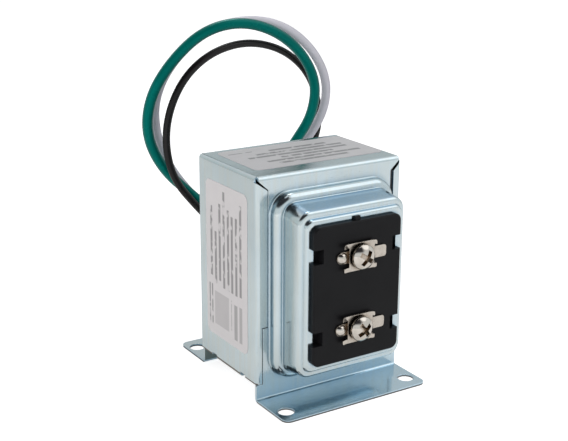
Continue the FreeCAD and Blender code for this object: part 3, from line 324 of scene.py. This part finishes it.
mouldedLooks = {
    "bobbinNylon": {
        "base": rgb(0.74, 0.69, 0.55), "shade": rgb(0.66, 0.61, 0.47), "rough": (0.42, 0.5),
        "edgeRadius": 0.0002,
    },
    "coilTape": {
        "base": rgb(0.66, 0.47, 0.10), "shade": rgb(0.58, 0.38, 0.07), "rough": (0.25, 0.35),
        "edgeRadius": 0.0001,
    },
    "fibreCard": {
        "base": rgb(0.30, 0.27, 0.22), "shade": rgb(0.24, 0.21, 0.17), "rough": (0.6, 0.75),
        "edgeRadius": 0.00005, "grain": 2500.0, "bump": 0.5,
    },
    "blockBlack": {
        "base": rgb(0.006, 0.006, 0.007), "shade": rgb(0.009, 0.009, 0.010), "rough": (0.36, 0.46),
        "edgeRadius": 0.00018, "gloss": 0.13,
    },
    "bushingBlack": {
        "base": rgb(0.012, 0.012, 0.013), "shade": rgb(0.016, 0.016, 0.017), "rough": (0.42, 0.55),
        "edgeRadius": 0.0002, "gloss": 0.25,
    },
    "blackVinyl": {
        "base": rgb(0.004, 0.003, 0.003), "shade": rgb(0.006, 0.005, 0.005), "rough": (0.24, 0.34),
        "gloss": 0.26, **vinylUsual,
    },
    "whiteVinyl": {
        "base": rgb(0.80, 0.78, 0.85), "shade": rgb(0.75, 0.73, 0.80), "rough": (0.34, 0.46),
        "gloss": 0.3, **vinylUsual,
    },
    "greenVinyl": {
        "base": rgb(0.000, 0.118, 0.100), "shade": rgb(0.000, 0.100, 0.086), "rough": (0.24, 0.34),
        "gloss": 0.5, "tint": rgb(0.05, 1.0, 0.86), **vinylUsual,
    },
    "spliceNylon": {
        "base": rgb(0.62, 0.65, 0.68), "shade": rgb(0.56, 0.59, 0.62), "rough": (0.35, 0.45),
        "edgeRadius": 0.0002,
    },
}


def platedSteel(name, look):
    material, tree, shader = newMaterial(name, {"Metallic": 1.0})
    sheet = useGroup(tree, rolledSheet, look["scales"])
    rim = useGroup(tree, softEdge, {"Radius": look["edgeRadius"]})
    walls = useGroup(tree, paintedHollowShade, {"Reach": look["reach"]})
    reflection = useGroup(tree, paintedBlueReflection)
    tone = blendColours(tree, spread(tree, sheet["Cloud"], midBand), look["bright"], look["dull"])
    streaky = spread(tree, sheet["Streak"], look["streakBand"], look["streakShare"])
    tone = blendColours(tree, streaky, tone, look["warm"])
    tone = blendColours(tree, times(tree, sheet["Fleck"], look["fleckShare"]), tone, look["dull"], "MULTIPLY")
    tone = blendColours(tree, times(tree, rim["Edge"], look["edgeShare"]), tone, look["edge"])
    # above the foot the front is open to the room, so the painted hollow shade fades there
    lit = calc(tree, "SUBTRACT", 1.0, times(tree, reflection["Low Reflection"], look["openFront"]))
    tone = blendColours(tree, times(tree, walls["Painted Shade"], lit), tone, look["hollow"], "MULTIPLY")
    # painted blue reflection low on the front
    tone = blendColours(tree, reflection["Low Reflection"], tone, look["lowReflection"], "MULTIPLY")
    # painted darker blue reflection on the top of the dome's middle tier
    tone = blendColours(tree, reflection["Ledge Reflection"], tone, look["ledgeReflection"], "MULTIPLY")
    # the shear leaves a bare brown line low on the feet's edges; the same brown along the walls' lower edge
    # is a painted shadow line, partly the burr
    where = axesOf(tree, placeOf(tree))
    turned = axesOf(tree, normalOf(tree))
    upright = calc(tree, "LESS_THAN", calc(tree, "ABSOLUTE", turned["Z"]), look["facing"])
    cut = times(tree, upright, calc(tree, "LESS_THAN", where["Z"], look["cutHigh"]))
    sideways = calc(tree, "GREATER_THAN", calc(tree, "ABSOLUTE", turned["X"]), look["facing"])
    fromEdge = calc(tree, "ABSOLUTE", calc(tree, "SUBTRACT", where["Z"], look["wallEdge"]))
    # painted shadow line along the walls' lower edge
    wallShadowLine = times(tree, sideways, calc(tree, "LESS_THAN", fromEdge, look["cutHigh"]))
    tone = blendColours(tree, calc(tree, "MAXIMUM", cut, wallShadowLine), tone, look["cut"], "MULTIPLY")
    # painted shade: the rear plate's inner face is dull and dark
    forward = calc(tree, "LESS_THAN", turned["Y"], -look["facing"])
    behind = calc(tree, "GREATER_THAN", where["Y"], look["insideBehind"])
    above = calc(tree, "GREATER_THAN", where["Z"], look["insideAbove"])
    tone = blendColours(tree, times(tree, forward, behind, above), tone, look["inside"], "MULTIPLY")
    uneven = calc(tree, "ADD", sheet["Cloud"], sheet["Streak"])
    feed(tree, shader, {
        "Base Color": tone,
        "Roughness": spread(tree, uneven, look["roughBand"], look["rough"]),
        "Normal": bumpFrom(tree, sheet["Streak"], look["bump"], look["bumpDeep"], {"Normal": rim["Normal"]}),
    })
    return material


def plainMetal(name, look):
    # machined or stamped piece: two tones, fine grain, brighter edges and painted shade in hollows
    material, tree, shader = newMaterial(name, {"Metallic": 1.0})
    cast = useGroup(tree, mouldGrain, {"Grain Scale": look["grain"], "Tone Scale": look["toneScale"]})
    rim = useGroup(tree, softEdge, {"Radius": look["edgeRadius"]})
    walls = useGroup(tree, paintedHollowShade, look["walls"])
    tone = blendColours(tree, spread(tree, cast["Tone"], midBand), look["base"], look["shade"])
    bright = rgb(*(min(1.0, look["edgeBright"] * part) for part in look["base"][:3]))
    tone = blendColours(tree, times(tree, rim["Edge"], look["edgeShare"]), tone, bright)
    # painted shade in hollows and recesses
    tone = blendColours(tree, walls["Painted Shade"], tone, look["hollow"], "MULTIPLY")
    feed(tree, shader, {
        "Base Color": tone,
        "Roughness": spread(tree, cast["Tone"], midBand, look["rough"]),
        "Normal": bumpFrom(tree, cast["Grain"], look["bump"], look["bumpDeep"], {"Normal": rim["Normal"]}),
    })
    return material


def moulded(name, look):
    # plastic, vinyl or card: two close tones, fine grain, soft edges
    values = {"Specular IOR Level": look["gloss"], "Specular Tint": look["tint"]}
    material, tree, shader = newMaterial(name, values)
    cast = useGroup(tree, mouldGrain, {"Grain Scale": look["grain"], "Tone Scale": look["toneScale"]})
    rim = useGroup(tree, softEdge, {"Radius": look["edgeRadius"]})
    feed(tree, shader, {
        "Base Color": blendColours(tree, spread(tree, cast["Tone"], midBand), look["base"], look["shade"]),
        "Roughness": spread(tree, cast["Tone"], midBand, look["rough"]),
        "Normal": bumpFrom(tree, cast["Grain"], look["bump"], look["bumpDeep"], {"Normal": rim["Normal"]}),
    })
    return material


def laminated(name, look):
    # stacked sheets: thin dark lines at every pitch along Y, a little rust bloom
    material, tree, shader = newMaterial(name, {"Metallic": look["metal"]})
    where = placeOf(tree)
    share = calc(tree, "FRACT", calc(tree, "DIVIDE", axesOf(tree, where)["Y"], look["pitch"]))
    line = spread(tree, calc(tree, "ABSOLUTE", calc(tree, "SUBTRACT", share, 0.5)), look["lineBand"])
    bloom = noise(tree, where, look["rustScale"], Detail=look["rustDetail"])
    rusty = spread(tree, bloom, look["rustBand"], look["rustShare"])
    tone = blendColours(tree, rusty, look["base"], look["rust"])
    feed(tree, shader, {
        "Base Color": blendColours(tree, line, tone, look["gap"]),
        "Roughness": spread(tree, bloom, midBand, look["rough"]),
        "Normal": bumpFrom(tree, line, look["bump"], look["bumpDeep"], invert=True),
    })
    return material


def woundWire(name, look):
    # turns of enamelled wire side by side along X
    material, tree, shader = newMaterial(name, {"Metallic": 1.0})
    where = placeOf(tree)
    across = times(tree, axesOf(tree, where)["X"], math.pi / look["pitch"])
    turn = calc(tree, "ABSOLUTE", calc(tree, "SINE", across))
    drift = noise(tree, where, look["driftScale"])
    feed(tree, shader, {
        "Base Color": blendColours(tree, spread(tree, drift, midBand), look["base"], look["shade"]),
        "Roughness": spread(tree, drift, midBand, look["rough"]),
        "Normal": bumpFrom(tree, turn, look["bump"], look["pitch"] / 2),
    })
    return material


finishes = {
    "platedSteel": platedSteel("platedSteel", platedLook),
    "coreSheets": laminated("coreSheets", coreLook),
    "copperTurns": woundWire("copperTurns", copperLook),
}
for name, look in metalLooks.items():
    finishes[name] = plainMetal(name, {**metalUsual, **look})
for name, look in mouldedLooks.items():
    finishes[name] = moulded(name, {**mouldedUsual, **look})
wearers = {
    "platedSteel": ["front_cover", "rear_channel"],
    "coreSheets": ["core_e_stack", "core_i_stack"],
    "bobbinNylon": ["bobbin"],
    "copperTurns": ["primary_winding", "secondary_winding", "upper_secondary_wire", "lower_secondary_wire",
                    "black_primary_wire", "white_primary_wire"],
    "coilTape": ["primary_tape", "secondary_tape"],
    "fibreCard": ["front_card", "rear_card"],
    "blockBlack": ["terminal_block"],
    "nickelStamped": ["upper_terminal_strip", "lower_terminal_strip", "upper_wire_clamp", "lower_wire_clamp"],
    "nickelScrew": ["upper_terminal_screw", "lower_terminal_screw", "upper_terminal_rivet",
                    "lower_terminal_rivet", "ground_rivet"],
    "tinnedLug": ["upper_solder_lug", "lower_solder_lug", "ground_lug"],
    "bushingBlack": ["lead_bushing"],
    "blackVinyl": ["black_lead", "black_lead_tail"],
    "whiteVinyl": ["white_lead", "white_lead_tail"],
    "greenVinyl": ["green_lead", "green_lead_tail"],
    "spliceNylon": ["black_splice", "white_splice"],
    "bareCopper": ["black_lead_end", "white_lead_end", "green_lead_end"],
}
flatFinishes = ("platedSteel", "blockBlack", "nickelStamped")  # large flats keep their own normal
folds = {"weld": 1e-6, "angle": 32.0}  # metres, degrees


def dress(piece, material):
    if piece.material_slots:
        for holder in piece.material_slots:
            holder.material = material
    else:
        piece.data.materials.append(material)


def makeSmoothFolds(spec):
    # joins the loose triangles and shades them smooth, except across edges that turn more than the angle
    tree = bpy.data.node_groups.new("smoothFolds", "GeometryNodeTree")
    for way in ("INPUT", "OUTPUT"):
        tree.interface.new_socket("Mesh", in_out=way, socket_type="NodeSocketGeometry")
    source = tree.nodes.new("NodeGroupInput").outputs[0]
    sink = tree.nodes.new("NodeGroupOutput")
    weld = put(tree, "GeometryNodeMergeByDistance", {"Geometry": source, "Distance": spec["weld"]}).outputs[0]
    soft = put(tree, "GeometryNodeSetShadeSmooth", {0: weld, "Shade Smooth": True}, domain="FACE").outputs[0]
    turn = tree.nodes.new("GeometryNodeInputMeshEdgeAngle").outputs["Unsigned Angle"]
    sharp = put(tree, "FunctionNodeCompare", {0: turn, 1: math.radians(spec["angle"])}, data_type="FLOAT",
                operation="GREATER_THAN").outputs[0]
    crisp = put(tree, "GeometryNodeSetShadeSmooth", {0: soft, "Selection": sharp, "Shade Smooth": False},
                domain="EDGE").outputs[0]
    tree.links.new(crisp, sink.inputs[0])
    return tree


smoothFolds = makeSmoothFolds(folds)
for finish, wearing in wearers.items():
    for node in wearing:
        dress(nodes[node], finishes[finish])
        nodes[node].modifiers.new("smoothFolds", "NODES").node_group = smoothFolds
        if finish in flatFinishes:
            even = nodes[node].modifiers.new("evenFaces", "WEIGHTED_NORMAL")
            even.mode = "FACE_AREA"
            even.keep_sharp = True
print("materials on", sum(len(wearing) for wearing in wearers.values()), "nodes")


# meshes from grids of points

def gridMesh(name, grid):
    # grid[row, column] holds points: rows close round, neighbours join in quads, end rows get one face each
    rows, columns = grid.shape[:2]
    ids = np.arange(rows * columns).reshape(rows, columns)
    beside = np.roll(ids, -1, axis=1)
    quads = np.stack([ids[:-1], beside[:-1], beside[1:], ids[1:]], axis=-1).reshape(-1, 4)
    faces = quads.tolist() + [ids[0, ::-1].tolist(), ids[-1].tolist()]
    mesh = bpy.data.meshes.new(name)
    mesh.from_pydata(grid.reshape(-1, 3).tolist(), [], faces)
    mesh.update()
    piece = bpy.data.objects.new(name, mesh)
    scene.collection.objects.link(piece)
    return piece


# supply leads: the routes' points in millimetres, from the bushing to the stripped end
leads = {
    "black": {
        "diameter": 2.5, "length": 193.9, "vinyl": "blackVinyl", "slot": "black_insulation", "strands": 7,
        "route": [(2.9, 32.0, 26.8), (2.9, 38.5, 26.8), (1.6, 44.5, 28.4), (-1.8, 49.6, 32.4),
                  (-6.6, 52.6, 38.4), (-14.5, 53.5, 48.5), (-17.0, 54.0, 60.5), (-15.2, 54.0, 72.0),
                  (-9.0, 54.0, 82.5), (1.5, 54.5, 89.3), (15.0, 55.0, 91.5), (29.0, 56.0, 87.8),
                  (40.0, 57.5, 79.5), (46.0, 59.0, 68.0), (47.0, 60.0, 57.5), (43.2, 60.5, 48.6),
                  (37.0, 60.5, 40.5), (31.0, 60.5, 32.0), (28.0, 60.5, 22.4)],
    },
    "white": {
        "diameter": 3.1, "length": 212.0, "vinyl": "whiteVinyl", "slot": "white_insulation", "strands": 8,
        "route": [(7.1, 32.0, 26.8), (7.1, 40.5, 26.8), (5.8, 48.5, 28.2), (2.0, 55.4, 32.0),
                  (-3.6, 60.0, 39.2), (-11.6, 62.0, 50.0), (-16.4, 62.0, 62.0), (-16.9, 61.5, 74.4),
                  (-10.5, 60.5, 86.3), (1.6, 59.0, 95.7), (15.8, 57.5, 98.6), (29.5, 56.0, 95.8),
                  (40.5, 55.0, 87.2), (46.6, 54.5, 76.0), (45.6, 54.5, 65.0), (38.8, 54.5, 56.0),
                  (30.8, 55.0, 48.0), (23.5, 55.5, 39.5), (19.0, 56.0, 29.5)],
    },
    "green": {
        "diameter": 3.5, "length": 203.6, "vinyl": "greenVinyl", "slot": "green_insulation", "strands": 9,
        "route": [(5.0, 32.0, 30.4), (5.0, 39.5, 30.4), (3.6, 46.8, 31.4), (-0.4, 52.4, 35.2),
                  (-7.0, 56.0, 42.0), (-16.5, 57.5, 51.5), (-21.8, 58.0, 63.5), (-20.2, 57.5, 76.0),
                  (-12.8, 56.5, 86.8), (-2.5, 55.0, 95.6), (9.5, 53.5, 98.5), (22.0, 52.0, 95.7),
                  (33.0, 51.0, 87.8), (39.4, 50.5, 76.5), (37.8, 50.5, 65.0), (31.0, 50.5, 56.4),
                  (24.0, 51.0, 48.0), (18.0, 51.5, 38.8), (14.5, 52.0, 28.8)],
    },
}
leadMesh = {"order": 3, "steps": 12, "rings": 6}
strippedEnd = {
    "share": 0.44, "long": 10.0, "turns": 1.3, "groove": 0.2, "flare": 0.06, "rows": 41, "columns": 108,
}


def leadCurve(name, lead, spec):
    # one open spline with the route's points as its control points, and a round bevel
    route = np.array(lead["route"]) * mm
    curve = bpy.data.curves.new(name, "CURVE")
    curve.dimensions = "3D"
    spline = curve.splines.new("NURBS")
    spline.points.add(len(route) - 1)
    spline.points.foreach_set("co", np.c_[route, np.ones(len(route))].astype(np.float32).ravel())
    spline.order_u = spec["order"]
    spline.use_endpoint_u = True
    spline.resolution_u = spec["steps"]
    curve.bevel_depth = lead["diameter"] * mm / 2
    curve.bevel_resolution = spec["rings"]
    curve.use_fill_caps = True
    piece = bpy.data.objects.new(name, curve)
    scene.collection.objects.link(piece)
    return piece


def strandBundle(name, lead, spec):
    # twisted strands: the radius follows |cos| lobes round the axis, the lobes turn along it, and the tip
    # spreads a little
    tip = np.array(lead["route"][-1]) * mm
    axis = tip - np.array(lead["route"][-2]) * mm
    axis = axis / np.linalg.norm(axis)
    side = np.cross(axis, (0.0, 1.0, 0.0))
    side = side / np.linalg.norm(side)
    other = np.cross(axis, side)
    along = np.linspace(0.0, 1.0, spec["rows"])[:, None]
    around = np.linspace(0.0, 2 * math.pi, spec["columns"], endpoint=False)[None, :]
    lobes = np.abs(np.cos(lead["strands"] / 2 * (around - 2 * math.pi * spec["turns"] * along)))
    outer = lead["diameter"] * spec["share"] / 2 * mm
    grooved = 1 - spec["groove"] + spec["groove"] * lobes
    flared = 1 - spec["flare"] + spec["flare"] * along ** 2
    radius = outer * grooved * flared
    ring = np.cos(around)[..., None] * side + np.sin(around)[..., None] * other
    grid = tip + axis * (along * spec["long"] * mm)[..., None] + radius[..., None] * ring
    return gridMesh(name, grid)


for colour, lead in leads.items():
    flex = leadCurve(colour + "Lead", lead, leadMesh)
    dress(flex, finishes[lead["vinyl"]])
    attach(flex, "root")
    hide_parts(colour + "_lead")
    bare = strandBundle(colour + "Strands", lead, strippedEnd)
    dress(bare, finishes["bareCopper"])
    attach(bare, "root")
    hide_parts(colour + "_lead_end")
print("leads laid")


# stickers: rounded plates that lie on the left wall and on the top wall, sizes in millimetres; their plain
# bars and fields of ink give centre across, centre along, half width and half length, and a field also gives
# its share of ink
stickers = {
    "sideSticker": {
        "wall": "left", "middle": (0.4, 36.5), "half": (11.9, 23.8), "corner": 2.2, "thick": 0.09,
        "paper": rgb(0.69, 0.66, 0.665), "shade": rgb(0.645, 0.62, 0.63), "ink": rgb(0.12, 0.115, 0.12),
        "axes": ("Y", "Z"),
        "bars": [(9.1, 41.9, 0.6, 10.7), (6.6, 37.3, 0.6, 8.0), (4.2, 42.4, 0.6, 11.7),
                 (1.8, 43.6, 0.6, 14.6), (-0.7, 41.2, 0.6, 12.2), (-2.9, 40.5, 0.6, 11.5),
                 (-5.3, 40.5, 0.6, 11.6), (-7.7, 42.8, 0.6, 13.6), (10.4, 22.1, 0.35, 6.4),
                 (8.9, 22.1, 0.35, 6.4), (-2.4, 22.0, 0.12, 4.7)],
        "fields": [(3.3, 21.6, 4.2, 5.2, 0.3), (-4.9, 20.5, 0.9, 5.4, 0.55), (-7.7, 20.6, 0.8, 5.5, 0.45)],
    },
    "topSticker": {
        "wall": "top", "middle": (1.55, 2.35), "half": (21.95, 11.85), "corner": 2.2, "thick": 0.09,
        "paper": rgb(0.63, 0.615, 0.625), "shade": rgb(0.58, 0.565, 0.58), "ink": rgb(0.10, 0.10, 0.105),
        "axes": ("Y", "X"),
        "bars": [(-5.4, 1.8, 0.75, 12.0), (-2.6, 3.4, 0.75, 16.0), (0.2, 2.6, 0.75, 9.0),
                 (3.0, 1.4, 0.75, 17.0), (5.8, 3.6, 0.75, 15.0), (8.6, 4.6, 0.75, 10.0),
                 (9.8, -14.5, 0.3, 4.0)],
        "fields": [],
    },
}
plateRings = {
    "points": 96, "shrink": (1.0, 1.0, 0.997, 0.9, 0.6, 0.25), "rise": (0.0, 0.8, 1.0, 1.0, 1.0, 1.0),
}
paperLook = {
    "coat": {"Coat Weight": 0.25, "Coat Roughness": 0.3},
    "fibre": {"Grain Scale": 4200.0, "Tone Scale": 260.0},
    "breakScale": 420.0, "breakDetail": 2.0, "breakBand": (0.37, 0.45), "inkShare": (0.08, 0.72),
    "feather": 0.00006, "rough": (0.42, 0.55), "bump": 0.12, "bumpDeep": 0.00002,
}


def stickerPlate(name, spec, rings):
    # rings of a rounded rectangle: corner centres plus a radius, raised by the thickness and then shrunk
    # towards the middle
    count = rings["points"]
    turn = np.linspace(0.0, 2 * math.pi, count, endpoint=False) + math.pi / count
    direction = np.stack([np.cos(turn), np.sin(turn)], axis=-1)
    corner = spec["corner"]
    outline = np.sign(direction) * (np.array(spec["half"]) - corner) + corner * direction
    flat = np.array(spec["middle"]) + outline[None] * np.array(rings["shrink"])[:, None, None]
    rise = np.broadcast_to(np.array(rings["rise"])[:, None] * spec["thick"], flat.shape[:2])
    if spec["wall"] == "left":
        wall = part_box("front_cover")[0].x / mm
        grid = np.stack([wall - rise, flat[..., 0], flat[..., 1]], axis=-1)[:, ::-1]
    else:
        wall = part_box("front_cover")[1].z / mm
        grid = np.stack([flat[..., 0], flat[..., 1], wall + rise], axis=-1)
    return gridMesh(name, grid * mm)


def makeInkBar(feather):
    # one bar of ink: inside both half sizes about a centre, with a feathered edge
    inputs = {"U": 0.0, "V": 0.0, "Centre U": 0.0, "Centre V": 0.0, "Half U": 0.001, "Half V": 0.001}
    tree, given, sink = newGroup("inkBar", inputs, {"Mask": "Float"})
    inside = []
    for axis in ("U", "V"):
        off = calc(tree, "ABSOLUTE", calc(tree, "SUBTRACT", given[axis], given["Centre " + axis]))
        past = calc(tree, "SUBTRACT", off, given["Half " + axis])
        inside.append(spread(tree, past, (-feather, feather), (1.0, 0.0)))
    feed(tree, sink, {"Mask": times(tree, *inside)})
    return tree


inkBar = makeInkBar(paperLook["feather"])


def inkMask(tree, parts, axes, patch):
    across, along, halfWide, halfLong = (value * mm for value in patch[:4])
    return useGroup(tree, inkBar, {
        "U": parts[axes[0]], "V": parts[axes[1]], "Centre U": across, "Centre V": along, "Half U": halfWide,
        "Half V": halfLong,
    })["Mask"]


def stickerPaper(name, spec, look):
    # coated paper: bars of uneven ink, plain fields, faint fibre
    material, tree, shader = newMaterial(name + "Paper", look["coat"])
    where = placeOf(tree)
    parts = axesOf(tree, where)
    fibre = useGroup(tree, mouldGrain, look["fibre"])
    tone = blendColours(tree, fibre["Tone"], spec["paper"], spec["shade"])
    broken = noise(tree, where, look["breakScale"], Detail=look["breakDetail"])
    uneven = spread(tree, broken, look["breakBand"], look["inkShare"])
    for patch in spec["bars"] + spec["fields"]:
        share = patch[4] if len(patch) > 4 else uneven
        ink = times(tree, inkMask(tree, parts, spec["axes"], patch), share)
        tone = blendColours(tree, ink, tone, spec["ink"])
    feed(tree, shader, {
        "Base Color": tone,
        "Roughness": spread(tree, fibre["Tone"], midBand, look["rough"]),
        "Normal": bumpFrom(tree, fibre["Grain"], look["bump"], look["bumpDeep"]),
    })
    return material


for name, spec in stickers.items():
    plate = stickerPlate(name, spec, plateRings)
    dress(plate, stickerPaper(name, spec, paperLook))
    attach(plate, "root")
print("stickers placed")


# floor, world and lamps, lengths in metres
floorSpec = {
    "half": 3.0, "tone": rgb(0.86, 0.86, 0.87), "rough": 0.9, "glow": 0.70,
    "glossFront": 0.50, "glossBack": 0.27, "backTint": rgb(1.0, 0.97, 0.90), "frontToBack": (-0.12, 0.12),
}
lamps = {
    "leftLamp": {
        "at": (-0.85, -0.50, 0.40), "size": 0.8, "power": 6.1, "tint": (1.0, 0.99, 0.97), "inGloss": False,
    },
    "rightLamp": {
        "at": (0.48, -0.34, 0.82), "size": 0.9, "power": 1.5, "tint": (0.95, 0.98, 1.0), "inGloss": True,
    },
    "backLamp": {
        "at": (0.25, 0.42, 0.90), "size": 0.40, "power": 1.9, "tint": (1.0, 1.0, 1.0), "inGloss": True,
    },
}
lampAim = (0.0, 0.0, 0.035)
# what polished faces see by direction, and the bands of a direction's X, Y or Z in which one tone turns
# into the next
studioTones = {
    "front": rgb(0.90, 0.95, 0.98), "backLeft": rgb(0.72, 0.76, 0.76), "backRight": rgb(0.55, 0.60, 0.61),
    "darkGap": rgb(0.04, 0.04, 0.045), "ceiling": rgb(0.86, 0.87, 0.89), "diffuse": rgb(0.28, 0.285, 0.29),
}
studioBands = {
    "toRight": (0.15, 0.48), "toBack": (-0.2, 0.5), "toHigh": (0.36, 0.55), "ceilingBack": (0.35, 0.60),
    "ceilingTop": (0.965, 0.985), "ceilingRight": (0.05, 0.35),
}


def layFloor(spec):
    # pale and lit, with a glow that makes it white to the camera; gloss sees it darker and warmer to the back
    half = spec["half"]
    corners = [(-half, -half, 0), (half, -half, 0), (half, half, 0), (-half, half, 0)]
    mesh = bpy.data.meshes.new("floor")
    mesh.from_pydata(corners, [], [(0, 1, 2, 3)])
    floor = bpy.data.objects.new("floor", mesh)
    scene.collection.objects.link(floor)
    values = {"Roughness": spec["rough"], "Base Color": spec["tone"]}
    material, tree, shader = newMaterial("paleFloor", values)
    path = tree.nodes.new("ShaderNodeLightPath").outputs
    plain = calc(tree, "MAXIMUM", path["Is Camera Ray"], path["Is Transmission Ray"])
    depth = axesOf(tree, placeOf(tree))["Y"]
    gloss = spread(tree, depth, spec["frontToBack"], (spec["glossFront"], spec["glossBack"]))
    mirrored = times(tree, path["Is Glossy Ray"], gloss)
    warm = times(tree, path["Is Glossy Ray"], spread(tree, depth, spec["frontToBack"]))
    feed(tree, shader, {
        "Emission Strength": calc(tree, "MAXIMUM", times(tree, plain, spec["glow"]), mirrored),
        "Emission Color": blendColours(tree, warm, white, spec["backTint"]),
    })
    dress(floor, material)


def lightWorld(tones, bands):
    # white to the camera; to gloss a studio, pale low down, with a pale ceiling and a dark gap high on the
    # front left
    world = bpy.data.worlds.new("studio")
    scene.world = world
    world.use_nodes = True
    tree = world.node_tree
    tree.nodes.clear()
    out = tree.nodes.new("ShaderNodeOutputWorld")
    parts = axesOf(tree, tree.nodes.new("ShaderNodeTexCoord").outputs["Generated"])
    right = spread(tree, parts["X"], bands["toRight"])
    back = blendColours(tree, right, tones["backLeft"], tones["backRight"])
    low = blendColours(tree, spread(tree, parts["Y"], bands["toBack"]), tones["front"], back)
    covered = spread(tree, parts["Y"], bands["ceilingBack"])
    covered = calc(tree, "MAXIMUM", covered, spread(tree, parts["Z"], bands["ceilingTop"]))
    covered = calc(tree, "MAXIMUM", covered, spread(tree, parts["X"], bands["ceilingRight"]))
    above = blendColours(tree, covered, tones["darkGap"], tones["ceiling"])
    studio = blendColours(tree, spread(tree, parts["Z"], bands["toHigh"]), low, above)
    path = tree.nodes.new("ShaderNodeLightPath").outputs
    sight = calc(tree, "MAXIMUM", path["Is Camera Ray"], path["Is Transmission Ray"])
    tone = blendColours(tree, path["Is Glossy Ray"], tones["diffuse"], studio)
    tone = blendColours(tree, sight, tone, white)
    shade = put(tree, "ShaderNodeBackground", {"Color": tone, "Strength": 1.0})
    tree.links.new(shade.outputs[0], out.inputs[0])


def hangLamp(name, spec):
    lamp = bpy.data.lights.new(name, "AREA")
    lamp.shape = "DISK"
    lamp.size = spec["size"]
    lamp.energy = spec["power"]
    lamp.color = spec["tint"]
    holder = bpy.data.objects.new(name, lamp)
    aim = Vector(lampAim) - Vector(spec["at"])
    holder.location = spec["at"]
    holder.rotation_euler = aim.to_track_quat("-Z", "Y").to_euler()
    holder.visible_camera = False
    holder.visible_glossy = spec["inGloss"]
    scene.collection.objects.link(holder)


layFloor(floorSpec)
lightWorld(studioTones, studioBands)
for name, spec in lamps.items():
    hangLamp(name, spec)
print("studio lit")
